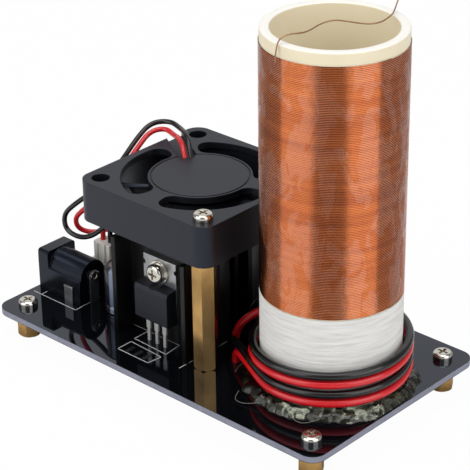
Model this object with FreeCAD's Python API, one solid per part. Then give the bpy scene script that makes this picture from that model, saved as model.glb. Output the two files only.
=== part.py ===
import FreeCAD, Part
import math
import os

# Desktop resonant transformer, in millimetres.
# The floor under the feet is z = 0, +X runs along the board from the power jack to the coil, +Z is up.

V = FreeCAD.Vector
UP = V(0, 0, 1)
DOWN = V(0, 0, -1)

# One overrun serves every cut.
OVERRUN = 1.0
# Gap left between round pieces that pass through each other without gripping.
PASS_GAP = 0.1

# Circuit board
BOARD_LENGTH = 100.0
BOARD_WIDTH = 56.6
BOARD_THICKNESS = 1.6
BOARD_CORNER_R = 3.5
FOOT_INSET = 5.5
BOARD_HOLE_R = 1.4

# Feet
FOOT_HEIGHT = 6.0
FOOT_ACROSS_FLATS = 5.0
FOOT_CHAMFER = 0.35

# Machine screws with rounded heads and a cross recess
SCREW_R = 1.2
SCREW_HEAD_R = 2.3
SCREW_HEAD_HEIGHT = 1.7
SCREW_HEAD_EDGE_SHARE = 0.5
CROSS_LENGTH = 2.6
CROSS_WIDTH = 0.6
CROSS_DEPTH = 0.9
FOOT_SCREW_REACH = 4.0
FAN_SCREW_REACH = 4.0
THREAD_GAP = 0.05

# Fan frame
FAN_X = -9.1
FAN_Y = 0.7
FAN_SIZE = 40.0
FAN_THICKNESS = 10.0
FAN_CORNER_R = 3.6
FAN_HOLE_PITCH = 32.0
FAN_HOLE_R = 2.1
FAN_PLATE = 1.6
FAN_DUCT_R = 18.7
FAN_OPENING_OUTER_R = 18.2
FAN_OPENING_INNER_R = 12.0
FAN_OPENING_END_R = 2.6
FAN_STRUT_WIDTH = 5.2
FAN_WIRE_STRUT_WIDTH = 7.0
FAN_STRUT_ANGLES = (21.0, 149.0, 269.0)
FAN_PLATE_GROOVE_R = 11.5
FAN_PLATE_GROOVE_WIDTH = 0.35
FAN_PLATE_GROOVE_DEPTH = 0.25
WIRE_SLOT_WIDTH = 4.2
WIRE_SLOT_FLOOR = 0.6
WIRE_SLOT_START_R = 10.7
WIRE_START_R = 9.6
WIRE_LEAN_ANGLE = 33.0
WIRE_SPACING = 1.5
FAN_LIFT = 27.0

# Fan motor
BEARING_TUBE_R = 2.9
BEARING_TUBE_WALL = 0.7
BEARING_TUBE_REACH = 5.6
SHAFT_R = 0.75
SHAFT_RUNNING_GAP = 0.05
SHAFT_LENGTH = 7.2
BEARING_LENGTH = 4.8
MOTOR_COVER_GAP = 0.6
HUB_R = 11.6
HUB_WALL = 0.9
HUB_CAP = 1.0
HUB_HEIGHT = 6.8
HUB_EDGE_R = 0.6
HUB_BOSS_R = 2.2
HUB_BOSS_HEIGHT = 0.9
MAGNET_THICKNESS = 1.2
MAGNET_HEIGHT = 4.8
AIR_GAP = 0.4
CORE_HEIGHT = 2.0
CORE_ARM_WIDTH = 3.0
CORE_SHOE_DEPTH = 1.5
CORE_SHOE_ANGLE = 66.0
CORE_RING_R = 4.3
CORE_ARMS = 4
COIL_BUILD = 0.8
COIL_ROUND_SHARE = 0.9
CIRCUIT_THICKNESS = 0.8
CIRCUIT_GAP = 0.5
BLADE_COUNT = 7
BLADE_THICKNESS = 0.8
BLADE_HEIGHT = 5.6
BLADE_SWEEP_ANGLE = 34.0
BLADE_TWIST_ANGLE = 16.0
BLADE_TIP_GAP = 0.6
BLADE_SINK = 0.3
BLADE_RISE_SHARE = 0.86

# Heat sinks
SINK_X = -8.4
# The heat sinks and the resistors stand centred under the fan.
SINK_Y = FAN_Y
SINK_SPACING = 6.4
SINK_WIDTH = 23.0
SINK_DEPTH = 16.0
SINK_HEIGHT = 25.0
SINK_FIN = 1.2
SINK_WEB = 2.0
SINK_FRONT_DEPTH = 5.8
SINK_REAR_FINS = 6
SINK_SCREW_HEIGHT = 18.2
SINK_PIN_R = 0.6
SINK_PIN_REACH = 2.0
SINK_RIB = 0.25
SINK_RIB_PITCH = 1.5

# Power transistors
TRANSISTOR_WIDTH = 10.2
TAB_THICKNESS = 1.3
TAB_TOP = 21.5
BODY_BOTTOM = 6.3
BODY_TOP = 15.3
BODY_DEPTH = 3.2
BODY_DRAFT = 0.35
BODY_SLOPE_SHARE = 0.4
BODY_NOTCH_R = 1.8
BODY_NOTCH_DEPTH = 0.6
TAB_NOTCH_R = 0.6
TAB_NOTCH_DROP = 2.2
TAB_HOLE_R = 1.8
LEAD_PITCH = 2.54
LEAD_SET_BACK = 1.4
LEAD_THICKNESS = 0.5
LEAD_WIDE = 1.3
LEAD_NARROW = 0.8
LEAD_STEP_HEIGHT = 3.0
LEAD_TAIL = 1.4
LEAD_HOLE_R = 0.6
TAB_SCREW_HEAD_R = 2.35
TAB_SCREW_HEAD_HEIGHT = 1.9
TAB_SCREW_R = 1.4
TAB_WASHER_R = 2.8
TAB_WASHER_THICKNESS = 0.5

# Power jack
JACK_X = -48.5
JACK_Y = -10.8
JACK_LENGTH = 14.2
JACK_WIDTH = 9.0
JACK_HEIGHT = 11.0
JACK_FLANGE = 3.4
JACK_FLANGE_EDGE_R = 0.8
JACK_AXIS_HEIGHT = 6.8
JACK_BARREL_R = 3.9
JACK_LEDGE_HEIGHT = 6.6
JACK_BORE_R = 3.2
JACK_BORE_DEPTH = 9.5
JACK_BORE_CHAMFER = 0.4
JACK_PIN_R = 1.0
JACK_PIN_LENGTH = 8.8
JACK_RIVET_R = 1.3
JACK_RIVET_THICKNESS = 0.4
TERMINAL_THICKNESS = 0.4
TERMINAL_WIDTH = 2.8
TERMINAL_TOP = 4.5
TERMINAL_TAIL = 1.3
TERMINAL_TAIL_WIDTH = 2.0
SIDE_TERMINAL_BACK = 3.7
TERMINAL_SLOT_GAP = 0.15

# Electrolytic capacitor
CAP_X = -26.1
CAP_Y = -9.3
CAP_R = 3.85
CAP_HEIGHT = 12.0
CAP_SLEEVE = 0.15
CAP_CRIMP_HEIGHT = 2.2
CAP_CRIMP_DEPTH = 0.35
CAP_CRIMP_WIDTH = 1.0
CAP_EDGE_R = 0.5
CAP_SEAL_INSET = 0.5
CAP_SEAL_HEIGHT = 1.4
CAP_SEAL_WALL = 0.4
CAP_SCORE_WIDTH = 0.3
CAP_SCORE_DEPTH = 0.15
CAP_LEAD_PITCH = 3.5
CAP_LEAD_R = 0.3
CAP_LEAD_TAIL = 1.4
CAP_STAND = 0.3

# Fan header and plug
HEADER_X = -37.5
HEADER_Y = -2.8
HEADER_LENGTH = 7.4
HEADER_DEPTH = 5.8
HEADER_HEIGHT = 7.0
HEADER_WALL = 0.8
HEADER_BASE = 2.2
HEADER_PIN = 0.64
HEADER_PITCH = 2.5
HEADER_PIN_HEIGHT = 6.4
HEADER_PIN_TAIL = 1.4
PLUG_LENGTH = 5.4
PLUG_DEPTH = 3.8
PLUG_HEIGHT = 9.6
PLUG_CAVITY = 0.9
PLUG_RIB = 0.5

# Resistors between the heat sinks
RESISTOR_R = 1.15
RESISTOR_NECK_R = 0.95
RESISTOR_LENGTH = 6.3
RESISTOR_CAP_LENGTH = 1.4
RESISTOR_LEAD_R = 0.3
RESISTOR_SPAN = 10.2
RESISTOR_SPACING = 3.2
RESISTOR_STAND = 0.4
RESISTOR_TAIL = 1.3
RESISTOR_X = -8.4

# Coil
TUBE_X = 30.6
TUBE_R = 15.6
TUBE_WALL = 2.15
TUBE_HEIGHT = 83.2
TUBE_EDGE = 0.25
PAPER_THICKNESS = 0.25
PAPER_TOP = 23.0
PAPER_BOTTOM = 2.4
WINDING_TOP_MARGIN = 2.8
WINDING_THICKNESS = 0.22
LAYER_GAP = 0.02

# Primary wires
PRIMARY_WIRE_R = 0.95
PRIMARY_TURN_GAP = 0.55
GLUE_SPREAD = 3.3
GLUE_HEIGHT = 2.1
# Outline of the glue bank, as shares of its spread and of its height
GLUE_OUTLINE_SHARES = ((0.0, 0.0), (1.0, 0.0), (0.92, 0.45), (0.72, 0.8), (0.45, 1.0), (0.0, 1.0))
WIRE_HOLE_R = 0.6

# Fan wires
FAN_WIRE_R = 0.62

# Solder
SOLDER_HEIGHT = 0.9
SOLDER_SPREAD = 0.7
SOLDER_TIP = 0.15

# Fine wire at the open end of the coil
FINE_WIRE_R = 0.16

BOARD_BOTTOM = FOOT_HEIGHT
BOARD_TOP = FOOT_HEIGHT + BOARD_THICKNESS
FAN_BOTTOM = BOARD_TOP + FAN_LIFT
FAN_TOP = FAN_BOTTOM + FAN_THICKNESS
PLATE_BOTTOM = FAN_TOP - FAN_PLATE
FULL_TURN = 360.0

os.makedirs("parts", exist_ok=True)


def save(name, shape):
    """Writes one node's solids, once they are found valid."""
    if not shape.isValid():
        raise ValueError(name + " is not valid")
    shape.exportStep("parts/" + name + ".step")
    print(name, len(shape.Solids), round(shape.Volume, 2))


def group(shapes):
    """Several separate solids kept as one node."""
    return Part.makeCompound(shapes)


def cylinder(radius, bottom, top, x=0.0, y=0.0):
    return Part.makeCylinder(radius, top - bottom, V(x, y, bottom), UP)


def block(x0, x1, y0, y1, z0, z1):
    return Part.makeBox(x1 - x0, y1 - y0, z1 - z0, V(x0, y0, z0))


def edges_at(shape, test):
    return [e for e in shape.Edges if test(e)]


def upright(edge):
    """True for a straight edge that runs along Z."""
    a, b = edge.Vertexes[0].Point, edge.Vertexes[-1].Point
    return abs(a.x - b.x) < 1e-6 and abs(a.y - b.y) < 1e-6 and abs(a.z - b.z) > 1e-6


def prism(points, bottom, height):
    """A closed outline of XY points, raised from bottom."""
    ring = [V(x, y, bottom) for x, y in points]
    face = Part.Face(Part.makePolygon(ring + [ring[0]]))
    return face.extrude(UP * height)


def revolve(profile, x, y, z):
    """Turns a closed (radius, height) outline about the upright line through x, y."""
    ring = [V(x + r, y, z + h) for r, h in profile]
    face = Part.Face(Part.makePolygon(ring + [ring[0]]))
    return face.revolve(V(x, y, z), UP, FULL_TURN)


def ring(outer, inner, bottom, top, x=0.0, y=0.0):
    hole = cylinder(inner, bottom - OVERRUN, top + OVERRUN, x, y)
    return cylinder(outer, bottom, top, x, y).cut(hole)


def hexagon(across_flats, bottom, top, chamfer, x, y):
    """An upright hexagonal post with its end corners turned away."""
    radius = across_flats / 2 / math.cos(math.pi / 6)
    corners = [math.pi / 3 * k for k in range(6)]
    post = prism([(x + radius * math.cos(a), y + radius * math.sin(a)) for a in corners], bottom, top - bottom)
    height = top - bottom
    flat = radius - chamfer
    turned = [(0, 0), (flat, 0), (radius, chamfer), (radius, height - chamfer), (flat, height), (0, height)]
    return post.common(revolve(turned, x, y, bottom))


def screw(head_base, reach, x, y, radius, head_r, head_height):
    """A pan-head screw along Z: its head rises from head_base and its shank reaches down."""
    head = cylinder(head_r, head_base, head_base + head_height, x, y)
    rim = edges_at(head, lambda e: abs(e.BoundBox.ZMin - head_base - head_height) < 1e-6 and e.BoundBox.XLength > head_r)
    head = head.makeFillet(min(SCREW_HEAD_EDGE_SHARE * head_height, head_r / 2), rim)
    top = head_base + head_height
    half = CROSS_LENGTH / 2
    for along, across in ((half, CROSS_WIDTH / 2), (CROSS_WIDTH / 2, half)):
        slot = block(x - along, x + along, y - across, y + across, top - CROSS_DEPTH, top + OVERRUN)
        head = head.cut(slot)
    return head.fuse(cylinder(radius, head_base - reach, head_base, x, y))


def arc_middle(start, apex, end):
    """The middle of the arc that leaves start towards apex and reaches end from it."""
    middle = (start + end) * 0.5
    rise = apex - middle
    chord = (end - start).Length
    tangent = (apex - start).Length
    half_cos = min(1.0, chord / 2 / tangent)
    half = math.acos(half_cos)
    if half < 1e-4:
        return middle
    radius = tangent / math.tan(half)
    rise.normalize()
    return middle + rise * (radius * (1 - math.cos(half)))


BEND_SHARE = 0.45


def rounded_route(points):
    """Straight runs through the points, with a tangent arc at each inner point."""
    edges = []
    radii = []
    last = points[0]
    for before, here, after in zip(points, points[1:], points[2:]):
        back, ahead = before - here, after - here
        cut = BEND_SHARE * min(back.Length, ahead.Length)
        turn = math.pi - back.getAngle(ahead)
        radii.append(cut / math.tan(turn / 2))
        start = here + back * (cut / back.Length)
        end = here + ahead * (cut / ahead.Length)
        edges.append(Part.LineSegment(last, start).toShape())
        edges.append(Part.Arc(start, arc_middle(start, here, end), end).toShape())
        last = end
    edges.append(Part.LineSegment(last, points[-1]).toShape())
    return edges, radii


def biarc(start, start_way, end, end_way):
    """Two arcs that join two points along two directions."""
    span = end - start
    both = start_way + end_way
    spare = 2 * (1 - start_way.dot(end_way))
    along = span.dot(both)
    reach = (math.sqrt(along * along + spare * span.dot(span)) - along) / spare
    first = start + start_way * reach
    second = end - end_way * reach
    joint = (first + second) * 0.5
    return [Part.Arc(start, arc_middle(start, first, joint), joint).toShape(),
            Part.Arc(joint, arc_middle(joint, second, end), end).toShape()]


def tube(edges, radius, name):
    """One unbroken round tube along the edges, with its volume set against section times length."""
    path = Part.Wire(edges)
    first = edges[0]
    start = first.valueAt(first.FirstParameter)
    way = first.tangentAt(first.FirstParameter)
    section = Part.Wire(Part.makeCircle(radius, start, way))
    solid = path.makePipeShell([section], True, False)
    expected = math.pi * radius * radius * path.Length
    print(name, "length", round(path.Length, 1), "volume share", round(solid.Volume / expected, 4))
    return solid


def sampled(edges, step):
    """Points along the edges, about step apart, with their distance along the line."""
    points = []
    done = 0.0
    for e in edges:
        count = max(2, int(e.Length / step) + 1)
        for k, p in enumerate(e.discretize(count)[:-1]):
            points.append((done + e.Length * k / (count - 1), p))
        done += e.Length
    return points


def least_gap(edges, radius, step, skip):
    """The least gap of a tube to itself, measured between points further apart than skip along it."""
    points = sampled(edges, step)
    least = None
    for i, (s, p) in enumerate(points):
        for t, q in points[i + 1:]:
            if t - s > skip:
                d = (p - q).Length
                least = d if least is None else min(least, d)
    return least - 2 * radius


# Places on the board that several pieces share
FOOT_PLACES = [(sx * (BOARD_LENGTH / 2 - FOOT_INSET), sy * (BOARD_WIDTH / 2 - FOOT_INSET))
               for sx in (-1, 1) for sy in (-1, 1)]
FAN_HOLES = [(FAN_X + sx * FAN_HOLE_PITCH / 2, FAN_Y + sy * FAN_HOLE_PITCH / 2)
             for sx in (-1, 1) for sy in (-1, 1)]
FAN_POSTS = [place for place in FAN_HOLES if place[0] > FAN_X]
SINK_FACE = SINK_SPACING / 2 + SINK_DEPTH
SEAT = SINK_FACE - SINK_FRONT_DEPTH
LEAD_Y = SEAT + TAB_THICKNESS + LEAD_SET_BACK
LEAD_PLACES = [(SINK_X + k * LEAD_PITCH, SINK_Y + side * LEAD_Y) for side in (-1, 1) for k in (-1, 0, 1)]
SINK_PIN_Y = SEAT - SINK_WEB / 2
SINK_PIN_X = SINK_WIDTH / 2 - 2 * SINK_FIN
SINK_PINS = [(SINK_X + sx * SINK_PIN_X, SINK_Y + side * SINK_PIN_Y) for side in (-1, 1) for sx in (-1, 1)]
JACK_BACK = JACK_X + JACK_LENGTH
JACK_SIDE_PIN = (JACK_BACK - SIDE_TERMINAL_BACK, JACK_Y - JACK_WIDTH / 2 - TERMINAL_THICKNESS / 2)
JACK_REAR_PIN = (JACK_BACK + TERMINAL_THICKNESS / 2, JACK_Y)
CAP_LEADS = [(CAP_X, CAP_Y + s * CAP_LEAD_PITCH / 2) for s in (-1, 1)]
HEADER_PINS = [(HEADER_X + s * HEADER_PITCH / 2, HEADER_Y) for s in (-1, 1)]
RESISTOR_PINS = [(RESISTOR_X + sx * RESISTOR_SPAN / 2, SINK_Y + sy * RESISTOR_SPACING / 2)
                 for sy in (-1, 1) for sx in (-1, 1)]

# Routes of the primary wires: where each end leaves the board, and the points of its leads
RED_START = [V(10.4, -9.2, 0), V(10.4, -9.2, 1.9), V(11.8, -9.8, 3.2), V(15.6, -11.6, 3.4)]
BLACK_START = [V(7.4, -7.8, 0), V(7.4, -7.8, 2.9), V(8.9, -8.5, 5.2), V(13.6, -10.8, 5.4)]
RED_END = [V(12.3, 2.9, 10.1), V(9.4, -1.1, 8.9), V(7.0, -3.7, 6.4), V(5.9, -4.7, 3.0), V(5.9, -4.7, 0)]
BLACK_END = [V(12.2, 3.5, 12.2), V(8.6, 1.3, 11.0), V(6.4, 0.9, 7.6), V(6.0, 1.3, 3.8), V(6.0, 1.3, 0)]
PRIMARY_HOLES = [(route.x, route.y) for route in (RED_START[0], BLACK_START[0], RED_END[-1], BLACK_END[-1])]


def circuit_board():
    half_x, half_y = BOARD_LENGTH / 2, BOARD_WIDTH / 2
    board = block(-half_x, half_x, -half_y, half_y, BOARD_BOTTOM, BOARD_TOP)
    board = board.makeFillet(BOARD_CORNER_R, edges_at(board, upright))
    holes = [(x, y, BOARD_HOLE_R) for x, y in FOOT_PLACES + FAN_POSTS]
    holes += [(x, y, LEAD_HOLE_R) for x, y in LEAD_PLACES]
    holes += [(x, y, SINK_PIN_R + PASS_GAP) for x, y in SINK_PINS]
    holes += [(x, y, CAP_LEAD_R + PASS_GAP) for x, y in CAP_LEADS]
    holes += [(x, y, HEADER_PIN / 2 + 2 * PASS_GAP) for x, y in HEADER_PINS]
    holes += [(x, y, RESISTOR_LEAD_R + PASS_GAP) for x, y in RESISTOR_PINS]
    holes += [(x, y, WIRE_HOLE_R) for x, y in PRIMARY_HOLES]
    cuts = [cylinder(r, BOARD_BOTTOM - OVERRUN, BOARD_TOP + OVERRUN, x, y) for x, y, r in holes]
    slot_half = TERMINAL_TAIL_WIDTH / 2 + TERMINAL_SLOT_GAP
    thin_half = TERMINAL_THICKNESS / 2 + TERMINAL_SLOT_GAP
    x, y = JACK_SIDE_PIN
    cuts.append(block(x - slot_half, x + slot_half, y - thin_half, y + thin_half,
                      BOARD_BOTTOM - OVERRUN, BOARD_TOP + OVERRUN))
    x, y = JACK_REAR_PIN
    cuts.append(block(x - thin_half, x + thin_half, y - slot_half, y + slot_half,
                      BOARD_BOTTOM - OVERRUN, BOARD_TOP + OVERRUN))
    return board.cut(cuts)


def foot_standoffs():
    feet = []
    for x, y in FOOT_PLACES:
        post = hexagon(FOOT_ACROSS_FLATS, 0, FOOT_HEIGHT, FOOT_CHAMFER, x, y)
        feet.append(post.cut(cylinder(SCREW_R + THREAD_GAP, -OVERRUN, FOOT_HEIGHT + OVERRUN, x, y)))
    return group(feet)


def fan_standoffs():
    posts = []
    for x, y in FAN_POSTS:
        post = hexagon(FOOT_ACROSS_FLATS, BOARD_TOP, FAN_BOTTOM, FOOT_CHAMFER, x, y)
        posts.append(post.cut(cylinder(SCREW_R + THREAD_GAP, BOARD_TOP - OVERRUN, FAN_BOTTOM + OVERRUN, x, y)))
    return group(posts)


def screws(places, head_base, reach):
    return group([screw(head_base, reach, x, y, SCREW_R, SCREW_HEAD_R, SCREW_HEAD_HEIGHT) for x, y in places])


def underside_screws():
    """Screws that hold the fan's standoffs from below: the same screw, turned over."""
    turned = []
    for x, y in FAN_POSTS:
        one = screw(0, BOARD_THICKNESS + FOOT_SCREW_REACH, 0, 0, SCREW_R, SCREW_HEAD_R, SCREW_HEAD_HEIGHT)
        one.rotate(V(0, 0, 0), V(1, 0, 0), 180)
        one.translate(V(x, y, BOARD_BOTTOM))
        turned.append(one)
    return group(turned)


def polar(radius, degrees):
    a = math.radians(degrees)
    return V(radius * math.cos(a), radius * math.sin(a), 0)


def kidney(start, end):
    """A curved opening between two struts, with round ends, as an upright cutter about the fan's axis."""
    inner, outer, corner = FAN_OPENING_INNER_R, FAN_OPENING_OUTER_R, FAN_OPENING_END_R
    inner_turn = math.degrees(math.asin(corner / (inner + corner)))
    outer_turn = math.degrees(math.asin(corner / (outer - corner)))
    inner_reach = (inner + corner) * math.cos(math.radians(inner_turn))
    outer_reach = (outer - corner) * math.cos(math.radians(outer_turn))
    a = polar(inner, start + inner_turn)
    b = polar(inner, end - inner_turn)
    c = polar(outer, end - outer_turn)
    d = polar(outer, start + outer_turn)
    b_in, b_out = polar(inner_reach, end), polar(outer_reach, end)
    a_in, a_out = polar(inner_reach, start), polar(outer_reach, start)

    def corner_arc(p, centre_r, angle, q):
        centre = polar(centre_r, angle)
        way = (p + q) * 0.5 - centre
        way.normalize()
        return Part.Arc(p, centre + way * corner, q).toShape()

    middle = (start + end) / 2
    edges = [Part.Arc(a, polar(inner, middle), b).toShape(),
             corner_arc(b, inner + corner, end - inner_turn, b_in),
             Part.LineSegment(b_in, b_out).toShape(),
             corner_arc(b_out, outer - corner, end - outer_turn, c),
             Part.Arc(c, polar(outer, middle), d).toShape(),
             corner_arc(d, outer - corner, start + outer_turn, a_out),
             Part.LineSegment(a_out, a_in).toShape(),
             corner_arc(a_in, inner + corner, start + inner_turn, a)]
    return Part.Face(Part.Wire(edges)).extrude(UP * (FAN_PLATE + 2 * OVERRUN))


def fan_frame():
    half = FAN_SIZE / 2
    frame = block(-half, half, -half, half, FAN_BOTTOM, FAN_TOP)
    frame = frame.makeFillet(FAN_CORNER_R, edges_at(frame, upright))
    frame = frame.cut(cylinder(FAN_DUCT_R, FAN_BOTTOM - OVERRUN, PLATE_BOTTOM))
    middle_r = (FAN_OPENING_INNER_R + FAN_OPENING_OUTER_R) / 2
    halves = []
    for angle in FAN_STRUT_ANGLES:
        width = FAN_WIRE_STRUT_WIDTH if angle == FAN_STRUT_ANGLES[1] else FAN_STRUT_WIDTH
        halves.append(math.degrees(math.asin(width / 2 / middle_r)))
    count = len(FAN_STRUT_ANGLES)
    for k in range(count):
        start = FAN_STRUT_ANGLES[k] + halves[k]
        end = FAN_STRUT_ANGLES[(k + 1) % count] - halves[(k + 1) % count]
        if end < start:
            end += FULL_TURN
        opening = kidney(start, end)
        opening.translate(V(0, 0, PLATE_BOTTOM - OVERRUN))
        frame = frame.cut(opening)
    tube_bottom = PLATE_BOTTOM - BEARING_TUBE_REACH
    frame = frame.fuse(cylinder(BEARING_TUBE_R, tube_bottom, PLATE_BOTTOM + FAN_PLATE / 2))
    frame = frame.cut(cylinder(BEARING_TUBE_R - BEARING_TUBE_WALL, tube_bottom - OVERRUN, PLATE_BOTTOM))
    groove = ring(FAN_PLATE_GROOVE_R, FAN_PLATE_GROOVE_R - FAN_PLATE_GROOVE_WIDTH,
                  FAN_TOP - FAN_PLATE_GROOVE_DEPTH, FAN_TOP + OVERRUN)
    frame = frame.cut(groove)
    slot_half = WIRE_SLOT_WIDTH / 2
    channel = block(WIRE_SLOT_START_R, FAN_SIZE, -slot_half, slot_half,
                    PLATE_BOTTOM + WIRE_SLOT_FLOOR, FAN_TOP + OVERRUN)
    room = FAN_WIRE_R + PASS_GAP
    exit_half = WIRE_SPACING / 2 + room
    hatch = block(-room, room, -exit_half, exit_half, -OVERRUN, 3 * FAN_PLATE)
    hatch.rotate(V(0, 0, 0), V(0, 1, 0), WIRE_LEAN_ANGLE)
    hatch.translate(V(WIRE_START_R, 0, FAN_WIRE_FOOT))
    for cutter in (channel, hatch):
        cutter.rotate(V(0, 0, 0), UP, FAN_STRUT_ANGLES[1])
        frame = frame.cut(cutter)
    frame.translate(V(FAN_X, FAN_Y, 0))
    return frame.cut([cylinder(FAN_HOLE_R, FAN_BOTTOM - OVERRUN, FAN_TOP + OVERRUN, x, y) for x, y in FAN_HOLES])


HUB_BOTTOM = FAN_BOTTOM + MOTOR_COVER_GAP
HUB_TOP = HUB_BOTTOM + HUB_HEIGHT
MAGNET_BOTTOM = HUB_BOTTOM + HUB_CAP + PASS_GAP
BEARING_TUBE_BOTTOM = PLATE_BOTTOM - BEARING_TUBE_REACH
BEARING_R = BEARING_TUBE_R - BEARING_TUBE_WALL
CIRCUIT_TOP = PLATE_BOTTOM - CIRCUIT_GAP
FAN_WIRE_FOOT = CIRCUIT_TOP + FAN_WIRE_R * math.sin(math.radians(WIRE_LEAN_ANGLE)) + LAYER_GAP / 2
CORE_R = HUB_R - HUB_WALL - MAGNET_THICKNESS - AIR_GAP
CORE_MIDDLE = MAGNET_BOTTOM + MAGNET_HEIGHT / 2
COIL_HEIGHT = CORE_HEIGHT + 2 * COIL_BUILD


def blade():
    """One fan blade: a thin curved plate whose outer end is flatter than its root."""
    root, tip = HUB_R - BLADE_SINK, FAN_DUCT_R - BLADE_TIP_GAP
    wires = []
    for radius, pitch in ((root, BLADE_SWEEP_ANGLE + BLADE_TWIST_ANGLE), (tip, BLADE_SWEEP_ANGLE)):
        rise = BLADE_HEIGHT / 2 * BLADE_RISE_SHARE
        along = rise / math.tan(math.radians(pitch))
        half = BLADE_THICKNESS / 2
        bow = BLADE_THICKNESS
        low, high = V(radius, -along, -rise), V(radius, along, rise)
        side = V(0, -math.sin(math.radians(pitch)), math.cos(math.radians(pitch)))
        upper = Part.Arc(low + side * half, side * (half + bow) + V(radius, 0, 0), high + side * half).toShape()
        lower = Part.Arc(high - side * half, side * (bow - half) + V(radius, 0, 0), low - side * half).toShape()
        lead = Part.LineSegment(high + side * half, high - side * half).toShape()
        trail = Part.LineSegment(low - side * half, low + side * half).toShape()
        wires.append(Part.Wire([upper, lead, lower, trail]))
    return Part.makeLoft(wires, True, True)


def fan_impeller():
    cup = [(0, 0), (HUB_R - HUB_EDGE_R, 0), (HUB_R, HUB_EDGE_R), (HUB_R, HUB_HEIGHT),
           (HUB_R - HUB_WALL, HUB_HEIGHT), (HUB_R - HUB_WALL, HUB_CAP), (HUB_BOSS_R, HUB_CAP),
           (HUB_BOSS_R, HUB_CAP + HUB_BOSS_HEIGHT), (0, HUB_CAP + HUB_BOSS_HEIGHT)]
    hub = revolve(cup, 0, 0, HUB_BOTTOM)
    vane = blade()
    vane.translate(V(0, 0, HUB_BOTTOM + HUB_HEIGHT / 2 + HUB_EDGE_R / 2))
    outside = ring(FAN_DUCT_R - BLADE_TIP_GAP, HUB_R - BLADE_SINK, FAN_BOTTOM, FAN_TOP)
    vane = vane.common(outside)
    for k in range(BLADE_COUNT):
        turned = vane.copy()
        turned.rotate(V(0, 0, 0), UP, FULL_TURN / BLADE_COUNT * k)
        hub = hub.fuse(turned)
    hub = hub.cut(cylinder(SHAFT_R, HUB_BOTTOM + HUB_CAP / 2, HUB_TOP))
    hub.translate(V(FAN_X, FAN_Y, 0))
    return hub


def fan_shaft():
    bottom = HUB_BOTTOM + HUB_CAP / 2
    return cylinder(SHAFT_R, bottom, bottom + SHAFT_LENGTH, FAN_X, FAN_Y)


def fan_magnet_ring():
    outer = HUB_R - HUB_WALL
    return ring(outer, outer - MAGNET_THICKNESS, MAGNET_BOTTOM, MAGNET_BOTTOM + MAGNET_HEIGHT, FAN_X, FAN_Y)


def fan_bearing():
    bottom = BEARING_TUBE_BOTTOM + PASS_GAP
    return ring(BEARING_R, SHAFT_R + SHAFT_RUNNING_GAP, bottom, bottom + BEARING_LENGTH, FAN_X, FAN_Y)


def fan_stator_core():
    bottom = CORE_MIDDLE - CORE_HEIGHT / 2
    top = bottom + CORE_HEIGHT
    core = cylinder(CORE_RING_R, bottom, top)
    shoe_ring = ring(CORE_R, CORE_R - CORE_SHOE_DEPTH, bottom, top)
    half = math.radians(CORE_SHOE_ANGLE / 2)
    reach = CORE_R / math.cos(half) + OVERRUN
    wedge = prism([(0, 0), (reach * math.cos(half), -reach * math.sin(half)),
                   (reach * math.cos(half), reach * math.sin(half))], bottom, CORE_HEIGHT)
    arm = block(0, CORE_R - CORE_SHOE_DEPTH / 2, -CORE_ARM_WIDTH / 2, CORE_ARM_WIDTH / 2, bottom, top)
    one = shoe_ring.common(wedge).fuse(arm)
    for k in range(CORE_ARMS):
        turned = one.copy()
        turned.rotate(V(0, 0, 0), UP, FULL_TURN / CORE_ARMS * k)
        core = core.fuse(turned)
    core = core.cut(cylinder(BEARING_TUBE_R, bottom - OVERRUN, top + OVERRUN))
    core.translate(V(FAN_X, FAN_Y, 0))
    return core


def fan_stator_coils():
    """Four copper windings, each round one arm of the core."""
    half = CORE_ARM_WIDTH / 2 + COIL_BUILD
    inner = CORE_RING_R + PASS_GAP
    outer = math.sqrt((CORE_R - CORE_SHOE_DEPTH) ** 2 - half ** 2) - PASS_GAP
    coils = []
    for k in range(CORE_ARMS):
        coil = block(inner, outer, -half, half, CORE_MIDDLE - COIL_HEIGHT / 2, CORE_MIDDLE + COIL_HEIGHT / 2)
        along_arm = [e for e in coil.Edges if e.BoundBox.XLength > (outer - inner) / 2]
        coil = coil.makeFillet(COIL_BUILD * COIL_ROUND_SHARE, along_arm)
        hollow = block(inner - OVERRUN, outer + OVERRUN, -CORE_ARM_WIDTH / 2, CORE_ARM_WIDTH / 2,
                       CORE_MIDDLE - CORE_HEIGHT / 2, CORE_MIDDLE + CORE_HEIGHT / 2)
        coil = coil.cut(hollow)
        coil.rotate(V(0, 0, 0), UP, FULL_TURN / CORE_ARMS * k)
        coil.translate(V(FAN_X, FAN_Y, 0))
        coils.append(coil)
    return group(coils)


def fan_circuit():
    """The ring-shaped driver board of the fan, in the mouth of the hub."""
    outer = HUB_R - HUB_WALL - AIR_GAP
    return ring(outer, BEARING_TUBE_R, CIRCUIT_TOP - CIRCUIT_THICKNESS, CIRCUIT_TOP, FAN_X, FAN_Y)


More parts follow.
